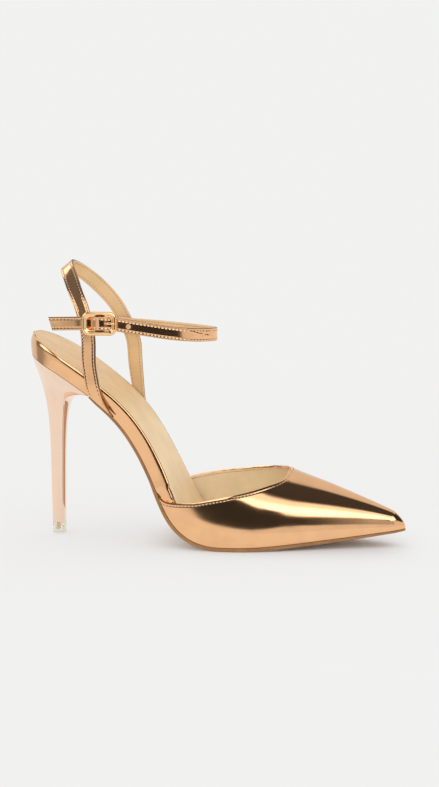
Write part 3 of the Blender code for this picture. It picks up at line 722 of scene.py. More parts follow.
@functools.lru_cache(None)
def sewing_thread(name):
    """Twisted thread."""
    made, paint, shader = new_material(name)
    colour = Vector(bpy.context.scene.shoe_colours.thread)
    twist = paint.noise(3000.0, detail=1.0)
    feed(paint, shader, Base_Color=twist.mix(colour * 0.8, colour * 1.15), Roughness=twist * 0.2 + 0.35)
    return made


@functools.lru_cache(None)
def clear_plastic(name):
    """Clear, slightly yellow plastic."""
    made, paint, shader = new_material(name)
    haze = paint.noise(400.0, detail=2.0)
    tint = haze.mix((0.96, 0.93, 0.84), (0.92, 0.88, 0.76))
    feed(paint, shader, Base_Color=tint, Roughness=haze * 0.1 + 0.05, Transmission_Weight=0.8, IOR=1.25)
    return made


def shaped_grid(rows, columns, place):
    """Grid whose points are put in place by their row and column."""
    bm = bmesh.new()
    add_shaped_grid(bm, rows, columns, place)
    return bm


def add_shaped_grid(bm, rows, columns, place):
    """Adds a grid of so many spans and puts its points in place, in millimetres."""
    made = bmesh.ops.create_grid(bm, x_segments=rows, y_segments=columns, size=0.5)
    for vert in made["verts"]:
        i = round((vert.co.x + 0.5) * rows)
        j = round((vert.co.y + 0.5) * columns)
        vert.co = Vector(place(i, j)) * MM


def weld(bm):
    """Joins points that lie together."""
    bmesh.ops.remove_doubles(bm, verts=bm.verts[:], dist=WELD_REACH * MM)


def close_ends(bm):
    """Fills what is still open and turns all faces outwards."""
    bmesh.ops.holes_fill(bm, edges=[edge for edge in bm.edges if edge.is_boundary], sides=0)
    bmesh.ops.recalc_face_normals(bm, faces=bm.faces[:])


def new_object(name, bm):
    """Object of a finished bmesh, in the scene."""
    mesh = bpy.data.meshes.new(name)
    bm.to_mesh(mesh)
    bm.free()
    made = bpy.data.objects.new(name, mesh)
    bpy.context.scene.collection.objects.link(made)
    return made


def put_piece(name, bm, materials, node=None):
    """Piece of a finished bmesh, riding on the shoe and standing for a solid of it."""
    if not bm.faces:
        raise RuntimeError(name + " has no faces")
    piece = new_object(name, bm)
    for made in materials:
        piece.data.materials.append(made)
    piece.data.shade_smooth()
    piece.data.set_sharp_from_angle(angle=SHARP_ANGLE)
    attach(piece, "root")
    if node:
        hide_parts(node)
    return piece


def put_stitches(name, bm):
    """Piece of sewn rows, with thread and needle holes; the holes are dark flecks of painted shade."""
    finishes = [sewing_thread("sewing_thread"), plain_leather("needle_hole_shade", "hole", roughness=0.6)]
    put_piece(name, bm, finishes)


def add_bevel(piece, width, segments):
    """Softens the sharp edges of a piece."""
    soft = piece.modifiers.new("edge", "BEVEL")
    soft.width = width * MM
    soft.segments = segments
    soft.limit_method = "ANGLE"
    soft.angle_limit = SHARP_ANGLE


def sew(bm, points, normals, sizes):
    """Row of raised stitches along a line that lies on a surface, with the needle's holes between them."""
    points = np.asarray(points, float)
    way = way_along(points)
    pitch = sizes.stitch_pitch / MM
    thread = (sizes.stitch_length / 2, sizes.stitch_width / 2, sizes.stitch_width * THREAD_HEIGHT_SHARE)
    hole = (sizes.hole_size * HOLE_LENGTH_SHARE, sizes.hole_size / 2, sizes.hole_size * HOLE_HEIGHT_SHARE)
    seam = bmesh.new()
    for count, middle in enumerate(np.arange(pitch / 2, way[-1] - pitch / 3, pitch / 2)):
        is_hole = count % 2
        before, here, after = read_line(points, way, middle + np.array([-STITCH_RUN, 0, STITCH_RUN]))
        run = Vector(after - before).normalized()
        up = Vector(read_line(normals, way, middle))
        up = (up - up.dot(run) * run).normalized()
        length, width, height = hole if is_hole else thread
        turn = Matrix((run * length, up.cross(run) * width, up * height)).transposed().to_4x4()
        place = Matrix.Translation(Vector(here) * MM) @ turn
        made = bmesh.ops.create_uvsphere(seam, u_segments=6, v_segments=4, radius=1.0, matrix=place)
        for face in {face for vert in made["verts"] for face in vert.link_faces}:
            face.material_index = is_hole
    row = bpy.data.meshes.new("seam")
    seam.to_mesh(row)
    seam.free()
    bm.from_mesh(row)
    bpy.data.meshes.remove(row)


def stitch_pull(way, sizes):
    """Share of the full pull on the leather at a place on the way along a row of stitches."""
    return PULL_MEAN + (1 - PULL_MEAN) * np.cos(2 * np.pi * way * MM / sizes.stitch_pitch)


FEATHER = np.array([under(arc, 0, along(BOARD, "thickness", arc)) for arc in LINE_ARC])
VAMP_TIP_X = FEATHER[-1, 0]


@functools.lru_cache(None)
def vamp_section(x):
    """Base edges, base height, middle, height and topline angles of the vamp's upright section at x."""
    arc = float(np.interp(x, FEATHER[:, 0], LINE_ARC))
    base = float(np.interp(x, FEATHER[:, 0], FEATHER[:, 2]))
    outer, inner = outline(arc)
    middle = (np.interp(arc, *INNER_LINE) - np.interp(arc, *OUTER_LINE)) / 2
    into_nose = max(0.0, (x - VAMP_TIP_X + NOSE_ROUND) / NOSE_ROUND)
    height = (np.interp(x, *INSTEP_LINE) - base) * math.sqrt(max(1 - into_nose ** 2, 0.0))
    angles = []
    for side in ("outer", "inner"):
        share = 1.0
        if x < THROAT_X:
            share = min((along(TOPLINE, side, x) - base) / height, 1.0)
        angles.append(math.asin(share ** (SECTION_POWER / 2)))
    return outer, inner, base, middle, height, angles


def vamp_places():
    """Places of the vamp's rows, closer together at the throat and at the nose."""
    back = np.linspace(VAMP_BACK_X, THROAT_START_X, VAMP_ROWS["back"] + 1)
    turns = np.radians(np.linspace(0, 90, VAMP_ROWS["throat"] + 1)[1:])
    throat = THROAT_START_X + (THROAT_X - THROAT_START_X) * np.sin(turns)
    seam = np.linspace(THROAT_X, THROAT_X + SEAM_REACH, VAMP_ROWS["seam"] + 1)[1:]
    front = np.linspace(seam[-1], VAMP_TIP_X - NOSE_ROUND, VAMP_ROWS["front"] + 1)[1:]
    turns = np.radians(np.linspace(0, NOSE_LAST_TURN, VAMP_ROWS["nose"] + 1)[1:])
    nose = VAMP_TIP_X - NOSE_ROUND * (1 - np.sin(turns))
    return np.concatenate([back, throat, seam, front, nose])


def vamp_point(x, side, share):
    """Point on the vamp's outer face, at a share of the way from its feather edge to its top."""
    outer, inner, base, middle, height, angles = vamp_section(x)
    edge = outer if side == 0 else inner
    turn = angles[side] * share
    power = 2 / SECTION_POWER
    y = middle + (edge - middle) * max(math.cos(turn), 0.0) ** power
    return (x, y, base + height * math.sin(turn) ** power)


@functools.lru_cache(None)
def vamp_row(x, side):
    """Points of one section from its feather edge up, closer together below the topline."""
    shares = np.linspace(0, 1, SECTION_READINGS)
    way = way_along([vamp_point(x, side, share) for share in shares])
    close = min(SEAM_REACH, way[-1] / 2)
    low = np.linspace(0, way[-1] - close, VAMP_COLUMNS - SEAM_COLUMNS + 1)
    high = np.linspace(way[-1] - close, way[-1], SEAM_COLUMNS + 1)[1:]
    return [vamp_point(x, side, np.interp(level, way, shares)) for level in np.concatenate([low, high])]


def topline():
    """Points along the topline, from the outer side round the throat to the inner side."""
    places = [x for x in vamp_places() if x <= THROAT_X]
    edge = [vamp_point(x, 0, 1.0) for x in places] + [vamp_point(x, 1, 1.0) for x in places[-2::-1]]
    edge = soften(edge, 1.0, TOPLINE_BLUR)
    way = way_along(edge)
    return read_line(edge, way, np.arange(0, way[-1], TOPLINE_STEP))


def press_seam(bm, edge, sizes):
    """Rolls the leather in at the topline and pulls it in along the stitches."""
    way = way_along(edge)
    tree = KDTree(len(edge))
    for k, point in enumerate(edge):
        tree.insert(point, k)
    tree.balance()
    inset = sizes.topline_inset / MM
    bm.normal_update()
    shifts = []
    for vert in bm.verts:
        _, k, distance = tree.find(vert.co / MM)
        if distance < SEAM_REACH:
            roll = EDGE_ROLL * max(0.0, 1 - distance / inset) ** 2
            depth = sizes.groove_depth / MM * stitch_pull(way[k], sizes)
            pull = depth * math.exp(-((distance - inset) / SEAM_WIDTH) ** 2)
            shifts.append((vert, vert.normal * (roll + pull) * MM))
    for vert, shift in shifts:
        vert.co -= shift


def topline_stitches(bm, edge, skin, sizes):
    """Stitches below the topline, outside on the foil and inside on the lining."""
    line = []
    ups = []
    runs = np.gradient(edge, axis=0)
    for point, run in zip(edge[::TOPLINE_STRIDE], runs[::TOPLINE_STRIDE]):
        _, normal, _, _ = skin.find_nearest(Vector(point) * MM)
        onto_leather = Vector(run).cross(normal).normalized()
        spot, normal, _, _ = skin.find_nearest(Vector(point) * MM + onto_leather * sizes.topline_inset)
        line.append(spot / MM)
        ups.append(normal)
    ups = np.array(ups)
    sew(bm, line, ups, sizes)
    sew(bm, np.array(line) - ups * WALL, -ups, sizes)


class SHOE_OT_vamp(bpy.types.Operator):
    """Makes the hollow pointed vamp with its lining and its sewn topline"""

    bl_idname = "shoe.vamp"
    bl_label = "Vamp"

    def execute(self, context):
        places = vamp_places()
        rows = len(places) - 1
        bm = bmesh.new()
        for side in (0, 1):
            def place(i, j):
                return vamp_row(places[i], side)[j]
            add_shaped_grid(bm, rows, VAMP_COLUMNS, place)
        weld(bm)
        bmesh.ops.recalc_face_normals(bm, faces=bm.faces[:])
        probe = min(bm.faces, key=lambda face: face.calc_center_median().y)
        if probe.normal.y > 0:
            bmesh.ops.reverse_faces(bm, faces=bm.faces[:])
        rim = [edge for edge in bm.edges if edge.is_boundary]
        nose = [edge for edge in rim if min(vert.co.x for vert in edge.verts) > places[-2] * MM]
        bmesh.ops.contextual_create(bm, geom=nose)
        sizes = context.scene.shoe_sizes
        edge = topline()
        press_seam(bm, edge, sizes)
        skin = BVHTree.FromBMesh(bm)
        thread = bmesh.new()
        topline_stitches(thread, edge, skin, sizes)
        # The vamp's lining takes the paler copy of the lining colour, painted light against the shade inside
        # the vamp.
        lining = lining_leather("vamp_lining_painted_light", "vamp_lining_painted_light", "vamp_lining_painted_light")
        finishes = [foil_leather("foil_vamp", roughness=0.065), lining]
        vamp = put_piece("vamp_upper", bm, finishes, "vamp")
        wall = vamp.modifiers.new("wall", "SOLIDIFY")
        wall.thickness = WALL * MM
        wall.offset = -1
        wall.use_even_offset = False
        wall.material_offset = 1
        add_bevel(vamp, WALL_EDGE_ROUND, WALL_EDGE_STEPS)
        put_stitches("vamp_stitches", thread)
        return {"FINISHED"}


def board_edges(arc, depth_share=0.0):
    """Outer and inner y of the board's side at a share of its thickness."""
    delay = OUTER_TUCK_DELAY * (1 - depth_share)
    into_toe = max(0.0, (arc - TOE_ARC + TOE_ROUND) / TOE_ROUND)
    insets = []
    for reach in (arc - delay, arc):
        tuck = along(BOARD, "tuck", reach)
        insets.append(tuck + (BOARD_TOE_STOP - tuck) * into_toe)
    outer = outline(arc, insets[0])[0]
    inner = outline(arc, insets[1])[1]
    drawn_in = min(along(BOARD, "undercut", arc) * depth_share, (inner - outer) * UNDERCUT_LIMIT)
    return outer + drawn_in, inner - drawn_in


def slab_ring(outer, inner, top, bottom, round_top, round_low):
    """Section of a slab as y and depth, with rounded upper and lower edges, from its outer side round."""
    room = (inner - outer) / SLAB_ROOM
    soft = min(round_top, room)
    low = min(round_low, room)
    turns = np.radians(np.linspace(0, 90, SLAB_ROUND_STEPS))
    side = [(low * (1 - math.sin(turn)), bottom - low * (1 - math.cos(turn))) for turn in turns]
    side += [(soft * (1 - math.cos(turn)), top + soft * (1 - math.sin(turn))) for turn in turns]
    near = [(outer + way, depth) for way, depth in side]
    far = [(inner - way, depth) for way, depth in reversed(side)]
    shares = np.arange(1, SLAB_SPANS) / SLAB_SPANS
    upper = [(outer + soft + (inner - outer - 2 * soft) * share, top) for share in shares]
    lower = [(inner - low - (inner - outer - 2 * low) * share, bottom) for share in shares]
    return near + upper + far + lower


def board_ring(arc, thick):
    """Section of the insole board as y and depth, with a bead along both rims, from its outer side round."""
    outer, inner = board_edges(arc)
    low_outer, low_inner = board_edges(arc, 1.0)
    tucked = min(along(BOARD, "tuck", arc) / (WALL * BEAD_END_SHARE), 1)
    at_back = max(0.0, 1 - arc / BEAD_OUT)
    lift = BEAD_LIFT * (1 - tucked) * math.sqrt(1 - at_back ** 2)
    narrow = min(1.0, (inner - outer) / 2 * BEAD_ROOM_SHARE / (BEAD_OUT + BEAD_IN))
    tall = min(BEAD_TALL, thick / 2) + lift
    side = [(0.0, thick - (thick - tall + lift) * k / BEAD_SIDE_STEPS) for k in range(BEAD_SIDE_STEPS)]
    for turn in np.radians(np.linspace(0, 90, BEAD_RISE_STEPS)):
        side.append((narrow * BEAD_OUT * (1 - math.cos(turn)), tall * (1 - math.sin(turn)) - lift))
    for turn in np.radians(np.linspace(BEAD_FALL_TURN, 0, BEAD_FALL_STEPS)):
        side.append((narrow * (BEAD_OUT + BEAD_IN * math.cos(turn)), -lift * math.sin(turn)))
    near = [(outer + (low_outer - outer) * max(depth, 0) / thick + way, depth) for way, depth in side]
    far = [(inner + (low_inner - inner) * max(depth, 0) / thick - way, depth) for way, depth in side]
    start, stop = near[-1][0], far[-1][0]
    upper = [(start + (stop - start) * k / BOARD_TOP_SPANS, 0.0) for k in range(1, BOARD_TOP_SPANS)]
    lower = [(low_inner + (low_outer - low_inner) * k / SLAB_SPANS, thick) for k in range(1, SLAB_SPANS)]
    return near + upper + far[::-1] + lower


def ring_solid(rings):
    """Closed solid through rings of points."""
    count = len(rings[0])

    def place(i, j):
        return rings[i][j % count]

    bm = shaped_grid(len(rings) - 1, count, place)
    weld(bm)
    close_ends(bm)
    return bm


class SHOE_OT_sole(bpy.types.Operator):
    """Makes the insole board with its foil cover, the beige sock and the outsole"""

    bl_idname = "shoe.sole"
    bl_label = "Sole"

    def execute(self, context):
        foil = foil_leather("foil_rim", roughness=0.11)
        put_piece("insole_board_cover", self.board(), [foil], "insole_board")
        # The sock turns paler ahead of the arch, painted light against the shade inside the vamp.
        beige = lining_leather("sock_leather", ahead="sock_front_painted_light")
        put_piece("sock_leather", self.sock(), [beige], "sock")
        tan = plain_leather("sole_leather", "sole", roughness=0.3)
        put_piece("outsole_leather", self.outsole(), [tan], "outsole")
        return {"FINISHED"}

    @staticmethod
    def board():
        """Solid of the board, which bulges a little at the back of the seat."""
        rings = []
        toe_round = TOE_ROUND - BOARD_TOE_STOP
        for arc in stations(0, TOE_ARC - BOARD_TOE_STOP, BOARD_SPACING, SEAT_ROUND, toe_round):
            thick = along(BOARD, "thickness", arc)
            back = max(0.0, 1 - arc / SEAT_ROUND) ** 2
            points = []
            for y, depth in board_ring(arc, thick):
                x, y, z = under(arc, y, depth)
                share = min(max(depth / thick, 0.0), 1.0)
                points.append((x - SEAT_BULGE * back * math.sin(math.pi * share ** SEAT_BULGE_RISE), y, z))
            rings.append(points)
        return ring_solid(rings)

    @staticmethod
    def sock():
        """Solid of the sock on the board."""
        rings = []
        top = -GAP - SOCK_THICKNESS
        for arc in stations(SOCK_INSET, SOCK_END_ARC, SOCK_SPACING, SEAT_ROUND - SOCK_INSET):
            tuck = along(BOARD, "tuck", arc)
            inset = SOCK_INSET + (SOCK_VAMP_INSET + tuck - SOCK_INSET) * min(tuck / WALL, 1)
            outer, inner = outline(arc, inset)
            ring = slab_ring(outer, inner, top, -GAP, SOCK_EDGE_ROUND, SOCK_LOW_ROUND)
            rings.append([under(arc, y, depth) for y, depth in ring])
        return ring_solid(rings)

    @staticmethod
    def outsole():
        """Solid of the outsole under the board and the vamp."""
        rings = []
        for arc in stations(OUTSOLE_START_ARC, TOE_ARC, OUTSOLE_SPACING, 0, TOE_ROUND):
            margin = along(OUTSOLE, "margin", arc)
            outer, inner = outline(arc)
            top = along(BOARD, "thickness", arc) + GAP
            bottom = top + along(OUTSOLE, "thickness", arc)
            ring = slab_ring(
                outer - margin, inner + margin, top, bottom, OUTSOLE_TOP_ROUND, OUTSOLE_EDGE_ROUND
            )
            rings.append([under(arc, y, depth) for y, depth in ring])
        return ring_solid(rings)


def heel_share(forward):
    """Share of the stem's half width at a share of the way from its back to its breast."""
    share = math.sqrt(1 - (1 - min(forward / HEEL_ROUND_SHARE, 1)) ** 2)
    corner = max(0.0, (forward - HEEL_CORNER_SHARE) / (1 - HEEL_CORNER_SHARE))
    return share - HEEL_CORNER_DROP * (1 - math.sqrt(1 - corner ** 2))


@functools.lru_cache(None)
def seat_ring():
    """Outer half of the heel's top edge, just under the insole board."""
    near = []
    for forward in HEEL_ARCS:
        arc = HEEL_TOP_INSET + forward * (HEEL_FRONT_ARC - HEEL_TOP_INSET)
        outer, _ = board_edges(arc, 1.0)
        near.append(under(arc, min(outer + HEEL_TOP_INSET, 0.0), along(BOARD, "thickness", arc) + GAP))
    return near


def close_ring(near, bulge=0.0):
    """Whole section from its outer half, with points across the breast, which may bulge a little."""
    x, y, z = near[-1]
    breast = []
    for k in range(1, BREAST_STEPS):
        share = 2 * k / BREAST_STEPS - 1
        breast.append((x + bulge * (1 - share * share), -y * share, z))
    return near + breast + [(x, -y, z) for x, y, z in reversed(near)]


def heel_ring(row):
    """Section of the heel at a row of its table, between the stem's form and the seat's."""
    seat = seat_ring()
    widest = max(-point[1] for point in seat)
    near = []
    share = row["seat_share"]
    for forward, seat_point in zip(HEEL_ARCS, seat):
        half = row["half"] * ((1 - share) * heel_share(forward) - share * seat_point[1] / widest)
        x = row["back_x"] + forward * (row["front_x"] - row["back_x"])
        z = row["back_z"] + forward * (row["front_z"] - row["back_z"])
        near.append((x, -half, z))
    return close_ring(near, BREAST_BULGE * row["half"] * (1 - share))


def heel_rows(tab, spacing, blur):
    """Rows of a heel table read closely and softened."""
    heights = (tab["back_z"] + tab["front_z"]) / 2
    keyed = {"height": heights, **tab}
    count = int((heights[-1] - heights[0]) / spacing)
    levels = np.linspace(heights[0], heights[-1], count + 1)
    columns = {}
    for name in tab:
        columns[name] = soften([along(keyed, name, level) for level in levels], spacing, blur)
    return table_rows(columns)


def drill(piece, name, middle, way, radius, depth, finish=0):
    """Round hole in a piece, by a hidden cutter."""
    bm = bmesh.new()
    turn = Vector(way).to_track_quat("Z", "Y").to_matrix().to_4x4()
    place = Matrix.Translation(Vector(middle) * MM) @ turn
    size = radius * MM
    bmesh.ops.create_cone(
        bm, cap_ends=True, segments=ROUND_STEPS, radius1=size, radius2=size, depth=depth * MM, matrix=place
    )
    for face in bm.faces:
        face.material_index = finish
    cutter = new_object(name, bm)
    cutter.hide_render = True
    cutter.display_type = "WIRE"
    cut = piece.modifiers.new("hole", "BOOLEAN")
    cut.operation = "DIFFERENCE"
    cut.object = cutter


def drill_for_dowel(piece, name, low, high):
    """Room for the dowel in a piece."""
    drill(piece, name, (0, 0, (low + high) / 2), (0, 0, 1), DOWEL_RADIUS + GAP, high - low)


class SHOE_OT_heel(bpy.types.Operator):
    """Makes the plated heel, its clear tip and the pin between them"""

    bl_idname = "shoe.heel"
    bl_label = "Heel"

    def execute(self, context):
        rings = [heel_ring(row) for row in heel_rows(HEEL, HEEL_SPACING, HEEL_BLUR)]
        rings.append(close_ring(list(seat_ring())))
        plating = polished("heel_plating", "plating", roughness=0.07)
        heel = put_piece("heel_stem", ring_solid(rings), [plating], "heel")
        drill_for_dowel(heel, "heel_bore", DOWEL_BOTTOM, DOWEL_TOP + GAP)
        tip_mesh = ring_solid([heel_ring(row) for row in table_rows(TIP)])
        clear = clear_plastic("clear_plastic")
        tip = put_piece("heel_tip_clear", tip_mesh, [clear], "heel_tip")
        drill_for_dowel(tip, "tip_bore", DOWEL_BOTTOM - GAP, DOWEL_TOP)
        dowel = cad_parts["tip_dowel"]
        dowel.data.materials.clear()
        dowel.data.materials.append(polished("dowel_brass", "gold", roughness=0.25))
        return {"FINISHED"}


def strap_columns():
    """Share across and face of each column of a strap's section: 0 is the outer face, 2 the inner one."""
    outer = [(k / OUTER_COLUMNS, 0) for k in range(OUTER_COLUMNS + 1)]
    inner = [(1 - k / INNER_COLUMNS, 2) for k in range(INNER_COLUMNS + 1)]
    return outer + inner


def strap_height(to_edge, half_thickness, groove, inset):
    """Height of a strap's face over its middle plane at a distance from the nearer edge."""
    near = max(0.0, STRAP_EDGE_ROUND - to_edge)
    rounding = STRAP_EDGE_ROUND - math.sqrt(STRAP_EDGE_ROUND ** 2 - near ** 2)
    pulled = groove * math.exp(-((to_edge - inset) / PULL_WIDTH) ** 2)
    return half_thickness - rounding - pulled


class Strap:
    """Strap between its rear and front edges, with a stitched outer face and a lined inner face."""

    def __init__(self, rear, front, thickness, sizes):
        self.rear = np.asarray(rear)
        self.front = np.asarray(front)
        self.half = thickness / 2
        self.inset = sizes.stitch_inset / MM
        self.groove = sizes.groove_depth / MM
        self.width = np.linalg.norm(self.front - self.rear, axis=1)
        self.across = (self.front - self.rear) / self.width[:, None]
        middle = (self.rear + self.front) / 2
        runs = np.gradient(middle, axis=0)
        self.way = way_along(middle)
        self.pull = stitch_pull(self.way, sizes)
        out = np.cross(self.across, runs)
        self.out = out / np.linalg.norm(out, axis=1)[:, None]

    def on_face(self, i, from_rear, face, extra=0.0):
        """Point on a face of the strap in one row."""
        to_edge = min(from_rear, self.width[i] - from_rear)
        sign = 1 if face == 0 else -1
        groove = self.groove * self.pull[i] * (1.0 if face == 0 else PULL_INSIDE_SHARE)
        height = strap_height(max(to_edge, 0.0), self.half, groove, self.inset) + extra
        return self.rear[i] + self.across[i] * from_rear + self.out[i] * (sign * height)

    def mesh(self, relief=None):
        """Closed solid of the strap, with the finish of each face by its place in the section."""
        columns = strap_columns()
        count = len(columns)

        def place(i, j):
            share, face = columns[j % count]
            extra = relief(i, share) if relief and face == 0 else 0.0
            return self.on_face(i, share * self.width[i], face, extra)

        bm = shaped_grid(len(self.rear) - 1, count, place)
        weld(bm)
        close_ends(bm)
        self.paint_faces(bm)
        return bm

    def paint_faces(self, bm):
        """Gives each face the foil, edge or lining finish by the way it looks."""
        centres = (self.rear + self.front) / 2 * MM
        for face in bm.faces:
            i = int(np.argmin(((centres - np.array(face.calc_center_median())) ** 2).sum(axis=1)))
            facing = face.normal.dot(Vector(self.out[i]))
            face.material_index = 1
            if abs(facing) > STRAP_FACE_LEAN:
                face.material_index = 0 if facing > 0 else 2

    def stitch_rows(self, bm, sizes):
        """Two rows of stitches on each face."""
        rows = range(STRAP_FREE_ROWS, len(self.rear) - STRAP_FREE_ROWS)
        for face, sign in ((0, 1), (2, -1)):
            for at_rear in (True, False):
                points = []
                for i in rows:
                    from_rear = self.inset if at_rear else self.width[i] - self.inset
                    points.append(self.on_face(i, from_rear, face))
                sew(bm, points, self.out[rows] * sign, sizes)

    def end_row(self, bm, sizes):
        """Row of stitches across the outer face, along the strap's last end."""
        i = int(np.argmin(abs(self.way[-1] - self.way - self.inset)))
        places = np.linspace(self.inset, self.width[i] - self.inset, END_ROW_POINTS)
        points = [self.on_face(i, from_rear, 0) for from_rear in places]
        sew(bm, points, np.repeat(self.out[i:i + 1], len(points), axis=0), sizes)


def keyed_by_length(rows, names):
    """The rows with a first column that measures the way along them through the named columns."""
    return {"way": way_along(np.stack([rows[name] for name in names], -1)), **rows}


def read_path(rows, names, ways, blur):
    """Points of a path through the named columns, read freely and softened."""
    points = np.array([[along(rows, name, way, free=True) for name in names] for way in ways])
    return soften(points, ways[1] - ways[0], blur)


def strap_finishes():
    """Foil outside, a stained edge and lining inside."""
    foil = foil_leather("foil_straps", roughness=0.075)
    edge = plain_leather("edge_stain", "edge", roughness=0.35)
    return [foil, edge, lining_leather("lining_leather")]


class SHOE_OT_sling_strap(bpy.types.Operator):
    """Makes the stitched sling strap round the back of the ankle"""

    bl_idname = "shoe.sling_strap"
    bl_label = "Sling strap"

    def execute(self, context):
        sizes = context.scene.shoe_sizes
        rows = keyed_by_length(SLING, ("rear_x", "rear_y", "rear_z"))
        ways = np.linspace(0, rows["way"][-1], SLING_ROWS)
        rear = read_path(rows, ("rear_x", "rear_y", "rear_z"), ways, SLING_BLUR)
        front = read_path(rows, ("front_x", "front_y", "front_z"), ways, SLING_BLUR)
        strap = Strap(rear, front, SLING_THICKNESS, sizes)
        put_piece("sling_strap_leather", strap.mesh(), strap_finishes(), "sling_strap")
        thread = bmesh.new()
        strap.stitch_rows(thread, sizes)
        put_stitches("sling_strap_stitches", thread)
        return {"FINISHED"}


class SHOE_OT_ankle_strap(bpy.types.Operator):
    """Makes the stitched ankle strap with its slanted tail and its two holes"""

    bl_idname = "shoe.ankle_strap"
    bl_label = "Ankle strap"

    def execute(self, context):
        sizes = context.scene.shoe_sizes
        rows = keyed_by_length(ANKLE, ("x", "y", "z"))
        ways = np.linspace(0, rows["way"][-1], ANKLE_ROWS)
        middle = read_path(rows, ("x", "y", "z"), ways, ANKLE_BLUR)
        from_tail = ways[-1] - ways
        slant = ANKLE_TAIL_SLANT / 2 * np.clip(1 - from_tail / ANKLE_TAIL_LENGTH, 0, 1)
        offset = np.stack([slant, np.zeros_like(slant), np.full_like(slant, -ANKLE_WIDTH / 2)], -1)
        strap = Strap(middle + offset, middle - offset, ANKLE_THICKNESS, sizes)
        bm = strap.mesh(self.creases(strap, middle))
        leather = put_piece("ankle_strap_leather", bm, strap_finishes(), "ankle_strap")
        drill(leather, "prong_hole", *self.prong_hole(), HOLE_RADIUS, HOLE_DEPTH, 1)
        lateral = middle[middle[:, 1] < 0]
        spare = lateral[np.argmin(abs(lateral[:, 0] - SPARE_HOLE_X))]
        drill(leather, "spare_hole", spare, (0, 1, 0), HOLE_RADIUS, HOLE_DEPTH, 1)
        pale = lining_leather("lining_leather")
        put_piece("ankle_strap_hole_rim", self.hole_rim(spare), [pale])
        thread = bmesh.new()
        strap.stitch_rows(thread, sizes)
        strap.end_row(thread, sizes)
        put_stitches("ankle_strap_stitches", thread)
        return {"FINISHED"}

    @staticmethod
    def prong_hole():
        """Middle and direction of the hole that the prong passes through."""
        start, stop = (np.array([PRONG["x"][k], PRONG["y"][k], 0]) for k in (1, 2))
        run = (stop - start) / np.linalg.norm(stop - start)
        x, y, _ = (start + stop) / 2 + run * HOLE_DEPTH / 2
        return (x, y, BUCKLE_CENTRE[2]), run

    @staticmethod
    def creases(strap, middle):
        """Relief of short soft creases on the outer face, where the strap bends at its front."""
        spots = []
        for crease in table_rows(CREASES):
            i = int(np.argmin((middle[:, 0] - crease["x"]) ** 2 + (middle[:, 1] - crease["y"]) ** 2))
            spots.append((strap.way[i], crease["height"], crease["lean"]))

        def relief(i, share):
            depth = 0.0
            for way, height, lean in spots:
                up = share - height
                off = (strap.way[i] - way - lean * up) / math.hypot(1, lean / strap.width[i])
                fade = math.exp(-(up / CREASE_REACH) ** 2)
                trough = math.exp(-(off / CREASE_WIDTH) ** 2)
                ridge = math.exp(-((off - 2 * CREASE_WIDTH) / CREASE_WIDTH) ** 2)
                depth += CREASE_DEPTH * fade * (CREASE_RIDGE_SHARE * ridge - trough)
            return depth

        return relief

    @staticmethod
    def hole_rim(middle):
        """Pale edge of the leather pressed up round the spare hole."""
        bm = bmesh.new()
        centre = Vector((middle[0], middle[1] - ANKLE_THICKNESS / 2, middle[2])) * MM
        turn = Matrix.Translation(centre + Vector((HOLE_RADIUS * MM, 0, 0)))
        section = bmesh.ops.create_circle(bm, segments=8, radius=HOLE_RIM * MM, matrix=turn)
        edges = list({edge for vert in section["verts"] for edge in vert.link_edges})
        geom = section["verts"] + edges
        bmesh.ops.spin(bm, geom=geom, cent=centre, axis=(0, 1, 0), angle=2 * math.pi, steps=ROUND_STEPS)
        weld(bm)
        bmesh.ops.recalc_face_normals(bm, faces=bm.faces[:])
        return bm


def rounded_frame(size, radius):
    """Points round a rectangle with rounded corners, as x and z from its middle."""
    corners = []
    for quarter, (sign_x, sign_z) in enumerate(((1, 1), (-1, 1), (-1, -1), (1, -1))):
        corner_x = sign_x * (size[0] / 2 - radius)
        corner_z = sign_z * (size[1] / 2 - radius)
        for k in range(BUCKLE_CORNER_STEPS + 1):
            turn = math.radians(90 * (quarter + k / BUCKLE_CORNER_STEPS))
            corners.append((corner_x + radius * math.cos(turn), corner_z + radius * math.sin(turn)))
    points = []
    for k, corner in enumerate(corners):
        points.append(corner)
        if k % (BUCKLE_CORNER_STEPS + 1) == BUCKLE_CORNER_STEPS:
            after = corners[(k + 1) % len(corners)]
            for step in range(1, BUCKLE_SIDE_STEPS):
                part = step / BUCKLE_SIDE_STEPS
                points.append(tuple(a + (b - a) * part for a, b in zip(corner, after)))
    return points


def rounded_power(value):
    """Signed power that makes a circle's sine or cosine that of a rounded square."""
    return math.copysign(abs(value) ** (2 / BUCKLE_POWER), value)


